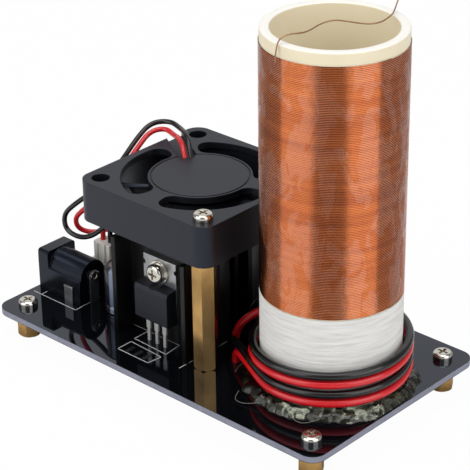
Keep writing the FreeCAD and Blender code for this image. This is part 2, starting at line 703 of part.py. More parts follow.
def sink_profile():
    """Half-symmetric outline of the extrusion, front fins at low y, drawn about x = 0 and y = 0 at the front."""
    half = SINK_WIDTH / 2
    inner = half - SINK_FIN
    web_front, web_back = SINK_FRONT_DEPTH, SINK_FRONT_DEPTH + SINK_WEB
    tip = SINK_FIN / 2
    points = [(inner, web_front), (inner, tip), (half - tip, 0), (half, tip)]
    ribs = int((SINK_DEPTH - 2 * SINK_RIB_PITCH) / SINK_RIB_PITCH)
    for k in range(ribs):
        base = SINK_RIB_PITCH * (k + 1)
        points += [(half, base), (half - SINK_RIB, base + SINK_RIB_PITCH / 2)]
    points += [(half, SINK_DEPTH - tip), (half - tip, SINK_DEPTH), (inner, SINK_DEPTH - tip)]
    pitch = (SINK_WIDTH - SINK_FIN) / (SINK_REAR_FINS - 1)
    for k in range(1, SINK_REAR_FINS // 2):
        right = half - pitch * k
        left = right - SINK_FIN
        points += [(points[-1][0], web_back), (right, web_back), (right, SINK_DEPTH - tip),
                   (right - tip, SINK_DEPTH), (left, SINK_DEPTH - tip)]
    points.append((points[-1][0], web_back))
    return points


def heat_sink(side):
    right = sink_profile()
    outline = right + [(-x, y) for x, y in reversed(right)]
    body = prism(outline, BOARD_TOP, SINK_HEIGHT)
    hole_z = BOARD_TOP + SINK_SCREW_HEIGHT
    body = body.cut(Part.makeCylinder(TAB_SCREW_R + THREAD_GAP, SINK_WEB + 2 * OVERRUN,
                                      V(0, SINK_FRONT_DEPTH - OVERRUN, hole_z), V(0, 1, 0)))
    for sx in (-1, 1):
        body = body.cut(cylinder(SINK_PIN_R, BOARD_TOP - OVERRUN, BOARD_TOP + SINK_PIN_REACH,
                                 sx * SINK_PIN_X, SINK_FRONT_DEPTH + SINK_WEB / 2))
    if side > 0:
        body.rotate(V(0, 0, 0), UP, 180)
    body.translate(V(SINK_X, SINK_Y + side * SINK_FACE, 0))
    return body


def heat_sink_pins():
    return group([cylinder(SINK_PIN_R, BOARD_BOTTOM - LEAD_TAIL, BOARD_TOP + SINK_PIN_REACH, x, y)
                  for x, y in SINK_PINS])


def facing(shape, side):
    """Moves a piece built for the front transistor into place, turned about for the rear one."""
    if side > 0:
        shape.rotate(V(SINK_X, 0, 0), UP, 180)
    shape.translate(V(0, SINK_Y, 0))
    return shape


def transistor_tab(side):
    """The metal back of the transistor, with its screw hole and a notch in each side."""
    half = TRANSISTOR_WIDTH / 2
    bottom, top = BOARD_TOP + BODY_BOTTOM, BOARD_TOP + TAB_TOP
    tab = block(SINK_X - half, SINK_X + half, -SEAT - TAB_THICKNESS, -SEAT, bottom, top)
    hole_z = BOARD_TOP + SINK_SCREW_HEIGHT
    start = -SEAT - TAB_THICKNESS - OVERRUN
    reach = TAB_THICKNESS + 2 * OVERRUN
    tab = tab.cut(Part.makeCylinder(TAB_HOLE_R, reach, V(SINK_X, start, hole_z), V(0, 1, 0)))
    for sx in (-1, 1):
        notch = Part.makeCylinder(TAB_NOTCH_R, reach, V(SINK_X + sx * half, start, top - TAB_NOTCH_DROP), V(0, 1, 0))
        tab = tab.cut(notch)
    return facing(tab, side)


def transistor_body(side):
    """Moulded body with a sloping upper edge and a shallow notch in the middle of its top."""
    half = TRANSISTOR_WIDTH / 2
    bottom, top = BOARD_TOP + BODY_BOTTOM, BOARD_TOP + BODY_TOP
    back = -SEAT - TAB_THICKNESS
    profile = [V(0, back, bottom), V(0, back - BODY_DEPTH + BODY_DRAFT, bottom), V(0, back - BODY_DEPTH, bottom + BODY_DRAFT),
               V(0, back - BODY_DEPTH, top - BODY_DEPTH * BODY_SLOPE_SHARE), V(0, back - BODY_DEPTH + BODY_DRAFT, top - BODY_DRAFT),
               V(0, back, top)]
    face = Part.Face(Part.makePolygon(profile + [profile[0]]))
    face.translate(V(SINK_X - half, 0, 0))
    body = face.extrude(V(TRANSISTOR_WIDTH, 0, 0))
    notch = Part.makeCylinder(BODY_NOTCH_R, BODY_DEPTH + 2 * OVERRUN,
                              V(SINK_X, back - BODY_DEPTH - OVERRUN, top + BODY_NOTCH_R - BODY_NOTCH_DEPTH), V(0, 1, 0))
    return facing(body.cut(notch), side)


def transistor_leads(side):
    leads = []
    y = -LEAD_Y
    for x in [SINK_X + k * LEAD_PITCH for k in (-1, 0, 1)]:
        top = BOARD_TOP + BODY_BOTTOM
        step = top - LEAD_STEP_HEIGHT
        half_t = LEAD_THICKNESS / 2
        wide = block(x - LEAD_WIDE / 2, x + LEAD_WIDE / 2, y - half_t, y + half_t, step, top)
        narrow = block(x - LEAD_NARROW / 2, x + LEAD_NARROW / 2, y - half_t, y + half_t,
                       BOARD_BOTTOM - LEAD_TAIL, step)
        leads.append(facing(wide.fuse(narrow), side))
    return group(leads)


def tab_screws():
    """Pan-head screws that clamp the tabs, each with a washer under its head."""
    pieces = []
    for side in (-1, 1):
        head_base = TAB_WASHER_THICKNESS
        one = screw(head_base, head_base + TAB_THICKNESS + SINK_WEB, 0, 0,
                    TAB_SCREW_R, TAB_SCREW_HEAD_R, TAB_SCREW_HEAD_HEIGHT)
        one.rotate(V(0, 0, 0), V(1, 0, 0), 90)
        one.translate(V(SINK_X, -SEAT - TAB_THICKNESS, BOARD_TOP + SINK_SCREW_HEIGHT))
        pieces.append(facing(one, side))
    return group(pieces)


def tab_washers():
    pieces = []
    for side in (-1, 1):
        one = ring(TAB_WASHER_R, TAB_SCREW_R + PASS_GAP, 0, TAB_WASHER_THICKNESS)
        one.rotate(V(0, 0, 0), V(1, 0, 0), 90)
        one.translate(V(SINK_X, -SEAT - TAB_THICKNESS, BOARD_TOP + SINK_SCREW_HEIGHT))
        pieces.append(facing(one, side))
    return group(pieces)


def power_jack_housing():
    z0 = BOARD_TOP
    half = JACK_WIDTH / 2
    flange = block(JACK_X, JACK_X + JACK_FLANGE, JACK_Y - half, JACK_Y + half, z0, z0 + JACK_HEIGHT)
    top_edges = [e for e in flange.Edges if e.BoundBox.XLength > JACK_FLANGE / 2 and e.BoundBox.ZMin > z0 + OVERRUN]
    flange = flange.makeFillet(JACK_FLANGE_EDGE_R, top_edges)
    body = block(JACK_X + JACK_FLANGE, JACK_BACK, JACK_Y - half, JACK_Y + half, z0, z0 + JACK_LEDGE_HEIGHT)
    barrel = Part.makeCylinder(JACK_BARREL_R, JACK_LENGTH - JACK_FLANGE / 2,
                               V(JACK_X + JACK_FLANGE / 2, JACK_Y, z0 + JACK_AXIS_HEIGHT), V(1, 0, 0))
    housing = flange.fuse([body, barrel])
    mouth = V(JACK_X - OVERRUN, JACK_Y, z0 + JACK_AXIS_HEIGHT)
    housing = housing.cut(Part.makeCylinder(JACK_BORE_R, JACK_BORE_DEPTH + OVERRUN, mouth, V(1, 0, 0)))
    flare = Part.makeCone(JACK_BORE_R + JACK_BORE_CHAMFER, JACK_BORE_R, JACK_BORE_CHAMFER,
                          V(JACK_X, JACK_Y, z0 + JACK_AXIS_HEIGHT), V(1, 0, 0))
    housing = housing.cut(flare)
    return housing.cut(Part.makeCylinder(JACK_PIN_R, JACK_LENGTH + 2 * OVERRUN, mouth, V(1, 0, 0)))


def power_jack_pin():
    """Centre pin, riveted over at the back."""
    z = BOARD_TOP + JACK_AXIS_HEIGHT
    start = JACK_X + JACK_BORE_DEPTH - JACK_PIN_LENGTH
    pin = Part.makeCylinder(JACK_PIN_R, JACK_BACK - start, V(start, JACK_Y, z), V(1, 0, 0))
    tip = [e for e in pin.Edges if e.BoundBox.XMax < start + OVERRUN and e.BoundBox.XLength < OVERRUN]
    pin = pin.makeFillet(JACK_PIN_R / 2, tip)
    back = JACK_BACK + TERMINAL_THICKNESS
    rivet = Part.makeCylinder(JACK_RIVET_R, JACK_RIVET_THICKNESS, V(back, JACK_Y, z), V(1, 0, 0))
    neck = Part.makeCylinder(JACK_PIN_R, TERMINAL_THICKNESS, V(JACK_BACK, JACK_Y, z), V(1, 0, 0))
    pip = Part.makeCylinder(JACK_RIVET_R / 2, 2 * OVERRUN, V(back + JACK_RIVET_THICKNESS / 2, JACK_Y, z), V(1, 0, 0))
    return pin.fuse([neck, rivet]).cut(pip)


def power_jack_terminals():
    """The rear terminal under the rivet and the side contact, both ending in tails through the board."""
    z0 = BOARD_TOP
    axis = z0 + JACK_AXIS_HEIGHT
    half = TERMINAL_WIDTH / 2
    tail = TERMINAL_TAIL_WIDTH / 2
    low = BOARD_BOTTOM - TERMINAL_TAIL
    rear = block(JACK_BACK, JACK_BACK + TERMINAL_THICKNESS, JACK_Y - half, JACK_Y + half, z0, axis)
    eye = Part.makeCylinder(half, TERMINAL_THICKNESS, V(JACK_BACK, JACK_Y, axis), V(1, 0, 0))
    foot = block(JACK_BACK, JACK_BACK + TERMINAL_THICKNESS, JACK_Y - tail, JACK_Y + tail, low, z0)
    hole = Part.makeCylinder(JACK_PIN_R, TERMINAL_THICKNESS + 2 * OVERRUN, V(JACK_BACK - OVERRUN, JACK_Y, axis), V(1, 0, 0))
    rear = rear.fuse([eye, foot]).cut(hole)
    x, y = JACK_SIDE_PIN
    thin = TERMINAL_THICKNESS / 2
    side = block(x - half, x + half, y - thin, y + thin, z0, z0 + TERMINAL_TOP)
    side = side.fuse(block(x - tail, x + tail, y - thin, y + thin, low, z0))
    return group([rear, side])


def capacitor_can():
    """Aluminium can, rolled in above its foot and scored across the top."""
    bottom = CAP_STAND
    top = CAP_HEIGHT
    r = CAP_R
    crimp = CAP_CRIMP_HEIGHT
    half = CAP_CRIMP_WIDTH / 2
    inner = r - CAP_SEAL_WALL
    seal_top = bottom + CAP_SEAL_INSET + CAP_SEAL_HEIGHT
    outline = [(inner, bottom), (r, bottom), (r, crimp - half), (r - CAP_CRIMP_DEPTH, crimp), (r, crimp + half),
               (r, top - CAP_EDGE_R), (r - CAP_EDGE_R, top), (0, top), (0, seal_top), (inner - CAP_CRIMP_DEPTH, seal_top),
               (inner - CAP_CRIMP_DEPTH, crimp - half), (inner, crimp - half)]
    can = revolve(outline, CAP_X, CAP_Y, BOARD_TOP)
    reach = r - 2 * CAP_EDGE_R
    deep = BOARD_TOP + top - CAP_SCORE_DEPTH
    half_w = CAP_SCORE_WIDTH / 2
    for a, b in ((reach, half_w), (half_w, reach)):
        can = can.cut(block(CAP_X - a, CAP_X + a, CAP_Y - b, CAP_Y + b, deep, BOARD_TOP + top + OVERRUN))
    return can


def capacitor_sleeve():
    """Printed shrink sleeve that follows the can and turns in over its upper edge."""
    r, t = CAP_R + LAYER_GAP, CAP_SLEEVE
    crimp, half = CAP_CRIMP_HEIGHT, CAP_CRIMP_WIDTH / 2
    top = CAP_HEIGHT + LAYER_GAP
    low = 2 * CAP_STAND
    edge = CAP_EDGE_R
    outline = [(r, low), (r + t, low), (r + t, crimp - half), (r + t - CAP_CRIMP_DEPTH, crimp), (r + t, crimp + half),
               (r + t, top - edge), (r - edge, top + t), (r - 2 * edge, top + t), (r - 2 * edge, top),
               (r - edge, top), (r, top - edge), (r, crimp + half), (r - CAP_CRIMP_DEPTH, crimp), (r, crimp - half)]
    return revolve(outline, CAP_X, CAP_Y, BOARD_TOP)


def capacitor_seal():
    bottom = BOARD_TOP + CAP_STAND + CAP_SEAL_INSET
    r = CAP_R - CAP_SEAL_WALL - CAP_CRIMP_DEPTH - LAYER_GAP
    seal = cylinder(r, BOARD_TOP + CAP_STAND / 2, bottom + CAP_SEAL_HEIGHT - LAYER_GAP, CAP_X, CAP_Y)
    return seal.cut([cylinder(CAP_LEAD_R, BOARD_TOP - OVERRUN, bottom + CAP_SEAL_HEIGHT, x, y) for x, y in CAP_LEADS])


def capacitor_leads():
    top = BOARD_TOP + CAP_STAND + CAP_SEAL_INSET + CAP_SEAL_HEIGHT - LAYER_GAP
    return group([cylinder(CAP_LEAD_R, BOARD_BOTTOM - CAP_LEAD_TAIL, top, x, y) for x, y in CAP_LEADS])


def fan_header():
    """White header: an open-topped box with two keying slots."""
    hx, hy = HEADER_LENGTH / 2, HEADER_DEPTH / 2
    z0, z1 = BOARD_TOP, BOARD_TOP + HEADER_HEIGHT
    shell = block(HEADER_X - hx, HEADER_X + hx, HEADER_Y - hy, HEADER_Y + hy, z0, z1)
    ix, iy = hx - HEADER_WALL, hy - HEADER_WALL
    shell = shell.cut(block(HEADER_X - ix, HEADER_X + ix, HEADER_Y - iy, HEADER_Y + iy, z0 + HEADER_BASE, z1 + OVERRUN))
    for sx in (-1, 1):
        x = HEADER_X + sx * HEADER_PITCH / 2
        slot = block(x - PLUG_RIB, x + PLUG_RIB, HEADER_Y - hy - OVERRUN, HEADER_Y - iy + PLUG_RIB / 2,
                     z0 + HEADER_HEIGHT / 2, z1 + OVERRUN)
        shell = shell.cut(slot)
    half = HEADER_PIN / 2
    holes = [block(x - half, x + half, y - half, y + half, z0 - OVERRUN, z1) for x, y in HEADER_PINS]
    return shell.cut(holes)


def fan_header_pins():
    half = HEADER_PIN / 2
    top = BOARD_TOP + HEADER_PIN_HEIGHT
    return group([block(x - half, x + half, y - half, y + half, BOARD_BOTTOM - HEADER_PIN_TAIL, top)
                  for x, y in HEADER_PINS])


PLUG_TOP = BOARD_TOP + HEADER_BASE + PASS_GAP + PLUG_HEIGHT


def fan_plug():
    """White plug, seated in the header over its pins, with two upright ribs on its front."""
    hx, hy = PLUG_LENGTH / 2, PLUG_DEPTH / 2
    z0 = BOARD_TOP + HEADER_BASE + PASS_GAP
    plug = block(HEADER_X - hx, HEADER_X + hx, HEADER_Y - hy, HEADER_Y + hy, z0, PLUG_TOP)
    ribs = []
    for sx in (-1, 1):
        x = HEADER_X + sx * HEADER_PITCH / 2
        ribs.append(block(x - PLUG_RIB / 2, x + PLUG_RIB / 2, HEADER_Y - hy - PLUG_RIB, HEADER_Y, z0 + HEADER_HEIGHT / 2, PLUG_TOP))
    plug = plug.fuse(ribs)
    half = PLUG_CAVITY / 2
    pin_top = BOARD_TOP + HEADER_PIN_HEIGHT + PASS_GAP
    return plug.cut([block(x - half, x + half, y - half, y + half, z0 - OVERRUN, pin_top) for x, y in HEADER_PINS])


def resistor_bodies():
    """Two small axial resistors lying side by side."""
    half = RESISTOR_LENGTH / 2
    cap = RESISTOR_CAP_LENGTH
    blend = cap / 4
    z = BOARD_TOP + RESISTOR_STAND + RESISTOR_R
    outline = [(0, -half), (RESISTOR_NECK_R, -half), (RESISTOR_R, -half + blend), (RESISTOR_R, -half + cap),
               (RESISTOR_NECK_R, -half + cap + blend), (RESISTOR_NECK_R, half - cap - blend), (RESISTOR_R, half - cap),
               (RESISTOR_R, half - blend), (RESISTOR_NECK_R, half), (0, half)]
    bodies = []
    for sy in (-1, 1):
        one = revolve(outline, 0, 0, 0)
        one.rotate(V(0, 0, 0), V(0, 1, 0), 90)
        one.translate(V(RESISTOR_X, SINK_Y + sy * RESISTOR_SPACING / 2, z))
        bodies.append(one)
    return group(bodies)


def resistor_leads():
    leads = []
    half = RESISTOR_LENGTH / 2
    z = BOARD_TOP + RESISTOR_STAND + RESISTOR_R
    low = BOARD_BOTTOM - RESISTOR_TAIL
    bend = RESISTOR_STAND + RESISTOR_R
    for sy in (-1, 1):
        y = SINK_Y + sy * RESISTOR_SPACING / 2
        for sx in (-1, 1):
            end = RESISTOR_X + sx * RESISTOR_SPAN / 2
            inner = V(RESISTOR_X + sx * half, y, z)
            corner = V(end - sx * bend, y, z)
            middle = V(end - sx * bend * (1 - math.sin(math.pi / 4)), y, z - bend * (1 - math.cos(math.pi / 4)))
            down = V(end, y, z - bend)
            path = Part.Wire([Part.LineSegment(inner, corner).toShape(), Part.Arc(corner, middle, down).toShape(),
                              Part.LineSegment(down, V(end, y, low)).toShape()])
            section = Part.Wire(Part.makeCircle(RESISTOR_LEAD_R, inner, V(sx, 0, 0)))
            leads.append(path.makePipeShell([section], True, False))
    return group(leads)


def coil_former():
    inner = TUBE_R - TUBE_WALL
    edge = TUBE_EDGE
    outline = [(inner, 0), (TUBE_R, 0), (TUBE_R, TUBE_HEIGHT - edge), (TUBE_R - edge, TUBE_HEIGHT),
               (inner + edge, TUBE_HEIGHT), (inner, TUBE_HEIGHT - edge)]
    return revolve(outline, TUBE_X, 0, BOARD_TOP)


def paper_band():
    inner = TUBE_R + LAYER_GAP
    return ring(inner + PAPER_THICKNESS, inner, BOARD_TOP + PAPER_BOTTOM, BOARD_TOP + PAPER_TOP, TUBE_X, 0)


WINDING_BOTTOM = BOARD_TOP + PAPER_TOP + LAYER_GAP
WINDING_TOP = BOARD_TOP + TUBE_HEIGHT - WINDING_TOP_MARGIN


def secondary_turns():
    """The close-wound layer of fine wire, whose hundreds of turns are too fine to part."""
    inner = TUBE_R + LAYER_GAP
    return ring(inner + WINDING_THICKNESS, inner, WINDING_BOTTOM, WINDING_TOP, TUBE_X, 0)


# Height of each primary wire's centre at every quarter turn, above the board
PRIMARY_QUARTERS = (245.0, 335.0, 425.0, 515.0, 605.0, 695.0, 785.0, 875.0)
RED_HEIGHTS = (3.4, 3.7, 4.8, 6.05, 7.55, 8.4, 9.35, 10.3)
BLACK_HEIGHTS = (5.4, 5.85, 6.95, 8.15, 9.6, 10.45, 11.4, 12.4)


def primary_wire(start, heights, end, name):
    """One primary wire: up from the board, twice round the foot of the coil and back down to the board."""
    radius = TUBE_R + LAYER_GAP + PAPER_THICKNESS + PRIMARY_TURN_GAP + PRIMARY_WIRE_R
    points, ways = [], []
    last = len(heights) - 1
    for k, (degrees, height) in enumerate(zip(PRIMARY_QUARTERS, heights)):
        a = math.radians(degrees)
        points.append(V(TUBE_X + radius * math.cos(a), radius * math.sin(a), BOARD_TOP + height))
        low, high = max(0, k - 1), min(last, k + 1)
        climb = (heights[high] - heights[low]) / (high - low)
        way = V(-math.sin(a), math.cos(a), climb / (radius * math.pi / 2))
        way.normalize()
        ways.append(way)
    lift = V(0, 0, BOARD_TOP)
    lead_in = [p + lift for p in start]
    lead_out = [p + lift for p in end]
    run = (lead_in[-1] - lead_in[-2]).Length
    lead_in.append(points[0] - ways[0] * (run * BEND_SHARE))
    lead_in.append(points[0])
    lead_out.insert(0, points[-1] + ways[-1] * (run * BEND_SHARE))
    lead_out.insert(0, points[-1])
    edges, radii = rounded_route(lead_in)
    print(name, "lead radii", [round(r, 2) for r in radii])
    for k in range(last):
        edges += biarc(points[k], ways[k], points[k + 1], ways[k + 1])
    more, radii = rounded_route(lead_out)
    print(name, "lead radii", [round(r, 2) for r in radii])
    edges += more
    print(name, "least gap", round(least_gap(edges, PRIMARY_WIRE_R, PRIMARY_WIRE_R, 20 * PRIMARY_WIRE_R), 2))
    return tube(edges, PRIMARY_WIRE_R, name)


def glue_ring():
    """The low bank of clear glue round the foot of the coil."""
    inner = TUBE_R + LAYER_GAP
    profile = [(inner + out * GLUE_SPREAD, up * GLUE_HEIGHT) for out, up in GLUE_OUTLINE_SHARES]
    return revolve(profile, TUBE_X, 0, BOARD_TOP)


# Routes of the fan wires from the fan's circuit over the frame and down to the plug, heights above the board
FAN_WIRE_START = FAN_WIRE_FOOT - BOARD_TOP
PLUG_WIRE_END = PLUG_TOP - BOARD_TOP
FAN_WIRE_RED = [
    (-17.71, 5.0, FAN_WIRE_START), (-19.7, 6.2, 38.8), (-22.9, 8.2, 40.3), (-27.2, 10.3, 39.4), (-31.0, 10.4, 38.8),
    (-32.6, 7.2, 37.6), (-32.4, 3.2, 35.4), (-32.6, -0.6, 32.0), (-34.2, -3.8, 27.8), (-37.4, -5.6, 24.0),
    (-41.6, -5.9, 20.2), (-45.2, -5.9, 16.6), (-45.0, -4.9, 13.2), (-42.0, -2.1, 12.2), (-38.4, 0.7, 14.0),
    (-36.4, 2.3, 17.6), (-37.2, 1.5, 21.2), (-38.6, -1.3, 21.2), (-38.75, -2.8, 17.6),
    (-38.75, -2.8, PLUG_WIRE_END)]
FAN_WIRE_BLACK = [
    (-16.94, 6.29, FAN_WIRE_START), (-18.93, 7.49, 38.8), (-22.3, 9.7, 41.2), (-26.9, 12.2, 41.2), (-31.4, 12.6, 40.4),
    (-34.2, 9.0, 38.9), (-34.2, 4.6, 36.4), (-34.3, 0.4, 32.9), (-35.9, -3.2, 28.9), (-39.0, -5.8, 25.2),
    (-43.4, -7.4, 21.4), (-47.0, -7.7, 17.7), (-46.6, -7.7, 13.7), (-42.2, -7.5, 12.9), (-37.9, -7.1, 14.6),
    (-34.6, -6.1, 17.8), (-33.9, -3.9, 19.4), (-36.0, -2.8, 18.0), (-36.25, -2.8, 15.0), (-36.25, -2.8, PLUG_WIRE_END)]


def fan_wire(points, name):
    edges, radii = rounded_route([V(x, y, BOARD_TOP + z) for x, y, z in points])
    print(name, "bend radii", [round(r, 1) for r in radii])
    return tube(edges, FAN_WIRE_R, name)


# Fine wire from the top of the winding, over the open end of the tube, heights above the board
FINE_WIRE = [
    (28.9, -16.4, 79.6), (28.9, -16.4, 83.6), (29.6, -14.1, 85.1), (31.1, -10.6, 84.7), (30.3, -7.1, 84.2),
    (30.0, -3.7, 84.5), (31.2, -0.8, 84.8), (34.0, 0.9, 84.5), (36.9, 2.9, 84.1), (38.0, 5.7, 84.0),
    (37.3, 8.7, 83.9), (36.5, 11.5, 83.8), (35.2, 13.9, 84.1), (34.8, 15.4, 85.6)]


def fine_wire():
    edges, radii = rounded_route([V(x, y, BOARD_TOP + z) for x, y, z in FINE_WIRE])
    print("fine_wire bend radii", [round(r, 1) for r in radii])
    return tube(edges, FINE_WIRE_R, "fine_wire")


def solder_joints():
    """A small cone of solder round each lead under the board, cut to the lead's own section."""
    round_leads = [(x, y, SINK_PIN_R) for x, y in SINK_PINS]
    round_leads += [(x, y, CAP_LEAD_R) for x, y in CAP_LEADS]
    round_leads += [(x, y, RESISTOR_LEAD_R) for x, y in RESISTOR_PINS]
    flat_leads = [(x, y, LEAD_NARROW, LEAD_THICKNESS) for x, y in LEAD_PLACES]
    flat_leads += [(x, y, HEADER_PIN, HEADER_PIN) for x, y in HEADER_PINS]
    flat_leads.append((JACK_SIDE_PIN[0], JACK_SIDE_PIN[1], TERMINAL_TAIL_WIDTH, TERMINAL_THICKNESS))
    flat_leads.append((JACK_REAR_PIN[0], JACK_REAR_PIN[1], TERMINAL_THICKNESS, TERMINAL_TAIL_WIDTH))
    low = BOARD_BOTTOM - SOLDER_HEIGHT
    high = BOARD_BOTTOM + OVERRUN
    joints = []
    for x, y, radius in round_leads:
        cone = Part.makeCone(radius + SOLDER_SPREAD, radius + SOLDER_TIP, SOLDER_HEIGHT, V(x, y, BOARD_BOTTOM), DOWN)
        joints.append(cone.cut(cylinder(radius, low - OVERRUN, high, x, y)))
    for x, y, wide, deep in flat_leads:
        reach = math.hypot(wide, deep) / 2
        cone = Part.makeCone(reach + SOLDER_SPREAD, reach + SOLDER_TIP, SOLDER_HEIGHT, V(x, y, BOARD_BOTTOM), DOWN)
        joints.append(cone.cut(block(x - wide / 2, x + wide / 2, y - deep / 2, y + deep / 2, low - OVERRUN, high)))
    for x, y in PRIMARY_HOLES:
        joints.append(Part.makeCone(WIRE_HOLE_R + SOLDER_SPREAD, WIRE_HOLE_R, SOLDER_HEIGHT, V(x, y, BOARD_BOTTOM), DOWN))
    return group(joints)


def main():
    save("circuit_board", circuit_board())
    save("foot_standoffs", foot_standoffs())
    save("foot_screws", screws(FOOT_PLACES, BOARD_TOP, BOARD_THICKNESS + FOOT_SCREW_REACH))
    save("fan_standoffs", fan_standoffs())
    save("fan_screws", screws(FAN_POSTS, FAN_TOP, FAN_THICKNESS + FAN_SCREW_REACH))
    save("standoff_screws", underside_screws())
    save("fan_frame", fan_frame())
    save("fan_impeller", fan_impeller())
    save("fan_shaft", fan_shaft())
    save("fan_magnet_ring", fan_magnet_ring())
    save("fan_bearing", fan_bearing())
    save("fan_stator_core", fan_stator_core())
    save("fan_stator_coils", fan_stator_coils())
    save("fan_circuit", fan_circuit())
    for side, place in ((-1, "front"), (1, "rear")):
        save("heat_sink_" + place, heat_sink(side))
        save("transistor_tab_" + place, transistor_tab(side))
        save("transistor_body_" + place, transistor_body(side))
        save("transistor_leads_" + place, transistor_leads(side))
    save("heat_sink_pins", heat_sink_pins())
    save("tab_screws", tab_screws())
    save("tab_washers", tab_washers())
    save("power_jack_housing", power_jack_housing())
    save("power_jack_pin", power_jack_pin())
    save("power_jack_terminals", power_jack_terminals())
    save("capacitor_can", capacitor_can())
    save("capacitor_sleeve", capacitor_sleeve())
    save("capacitor_seal", capacitor_seal())
    save("capacitor_leads", capacitor_leads())
    save("fan_header", fan_header())
    save("fan_header_pins", fan_header_pins())
    save("fan_plug", fan_plug())
    save("resistor_bodies", resistor_bodies())
    save("resistor_leads", resistor_leads())
    save("coil_former", coil_former())
    save("paper_band", paper_band())
    save("secondary_turns", secondary_turns())
    save("primary_wire_red", primary_wire(RED_START, RED_HEIGHTS, RED_END, "primary_wire_red"))
    save("primary_wire_black", primary_wire(BLACK_START, BLACK_HEIGHTS, BLACK_END, "primary_wire_black"))
    save("glue_ring", glue_ring())
    save("fan_wire_red", fan_wire(FAN_WIRE_RED, "fan_wire_red"))
    save("fan_wire_black", fan_wire(FAN_WIRE_BLACK, "fan_wire_black"))
    save("fine_wire", fine_wire())
    save("solder_joints", solder_joints())


main()
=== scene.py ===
"""Looks of a desktop resonant transformer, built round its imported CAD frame.

Each sub-assembly is a class: its fields are the real sizes in millimetres, and its methods build the
meshes, give them their finish and let them ride on a body of the frame.
"""

import logging
import math
from dataclasses import dataclass
from enum import Enum
from typing import Iterable, Optional, Sequence

import bmesh
import bpy
from mathutils import Matrix, Vector, noise


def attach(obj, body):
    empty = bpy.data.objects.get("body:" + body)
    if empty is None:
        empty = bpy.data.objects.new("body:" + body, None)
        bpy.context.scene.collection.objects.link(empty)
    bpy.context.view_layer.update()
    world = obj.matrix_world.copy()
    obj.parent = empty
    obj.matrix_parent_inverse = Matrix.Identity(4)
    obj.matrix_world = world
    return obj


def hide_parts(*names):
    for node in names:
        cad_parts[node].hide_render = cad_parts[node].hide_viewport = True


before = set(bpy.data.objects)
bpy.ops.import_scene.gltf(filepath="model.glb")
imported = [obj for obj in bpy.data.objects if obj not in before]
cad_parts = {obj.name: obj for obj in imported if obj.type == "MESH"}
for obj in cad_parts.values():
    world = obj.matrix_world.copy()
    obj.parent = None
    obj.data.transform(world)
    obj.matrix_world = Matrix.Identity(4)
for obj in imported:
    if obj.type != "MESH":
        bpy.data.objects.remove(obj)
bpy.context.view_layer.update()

log = logging.getLogger("transformer")
MM = 0.001
Point = tuple[float, float, float]


class Body(Enum):
    """Bodies of the frame that pieces ride on."""

    BASE = "base"
    ROTOR = "fan_rotor"


# Colour and shader nodes


def linear(code: str) -> tuple[float, float, float, float]:
    """Turns an sRGB colour code into linear values.

    Args:
        code: Six hexadecimal digits.

    Returns:
        Red, green, blue and alpha in linear light.
    """
    values = []
    for k in (0, 2, 4):
        part = int(code[k : k + 2], 16) / 255
        values.append(part / 12.92 if part <= 0.04045 else ((part + 0.055) / 1.055) ** 2.4)
    return values[0], values[1], values[2], 1.0


def add_node(
    tree: bpy.types.NodeTree, kind: str, inputs: Optional[dict] = None, **settings
) -> bpy.types.Node:
    """Adds one node, sets its settings and fills or links its inputs.

    Args:
        tree: The node tree it goes into.
        kind: The node's type name.
        inputs: Input names or numbers, each with a value or with the socket that feeds it.
        **settings: Properties of the node itself.

    Returns:
        The new node.
    """
    node = tree.nodes.new(kind)
    for key, value in settings.items():
        setattr(node, key, value)
    for key, value in (inputs or {}).items():
        if isinstance(value, bpy.types.NodeSocket):
            tree.links.new(value, node.inputs[key])
        else:
            node.inputs[key].default_value = value
    return node


def ramp(
    tree: bpy.types.NodeTree, factor: bpy.types.NodeSocket, stops: Sequence[tuple[float, tuple]]
) -> bpy.types.NodeSocket:
    """Adds a colour ramp.

    Args:
        tree: The node tree it goes into.
        factor: The value that picks the colour.
        stops: Position and linear colour of each stop, in rising order.

    Returns:
        The ramp's colour output.
    """
    node = add_node(tree, "ShaderNodeValToRGB", {"Fac": factor})
    band = node.color_ramp
    band.elements[0].position, band.elements[0].color = stops[0]
    band.elements[1].position, band.elements[1].color = stops[-1]
    for position, colour in stops[1:-1]:
        band.elements.new(position).color = colour
    return node.outputs["Color"]


def noise_field(
    tree: bpy.types.NodeTree,
    place: bpy.types.NodeSocket,
    scale: float,
    detail: float,
    roughness: float = 0.5,
    distortion: float = 0.0,
) -> bpy.types.NodeSocket:
    """Adds a noise texture.

    Args:
        tree: The node tree it goes into.
        place: The coordinates it is read at.
        scale: Features per unit of those coordinates.
        detail: Number of finer layers.
        roughness: Share that each finer layer adds.
        distortion: How far the pattern is pulled about.

    Returns:
        The texture's value output.
    """
    inputs = {"Vector": place, "Scale": scale, "Detail": detail}
    inputs |= {"Roughness": roughness, "Distortion": distortion}
    return add_node(tree, "ShaderNodeTexNoise", inputs).outputs["Fac"]


def mapped(
    tree: bpy.types.NodeTree,
    value: bpy.types.NodeSocket,
    limits: tuple[float, float],
    ends: tuple[float, float] = (0.0, 1.0),
) -> bpy.types.NodeSocket:
    """Maps a value between two limits to one between two ends, and holds it there.

    Args:
        tree: The node tree it goes into.
        value: The value to map.
        limits: Lower and upper limit of the value.
        ends: What the two limits become.

    Returns:
        The mapped value.
    """
    inputs = {"Value": value, "From Min": limits[0], "From Max": limits[1]}
    inputs |= {"To Min": ends[0], "To Max": ends[1]}
    return add_node(tree, "ShaderNodeMapRange", inputs).outputs["Result"]


def object_place(tree: bpy.types.NodeTree) -> bpy.types.NodeSocket:
    """Coordinates that are fixed to the piece, in metres."""
    return add_node(tree, "ShaderNodeTexCoord").outputs["Object"]


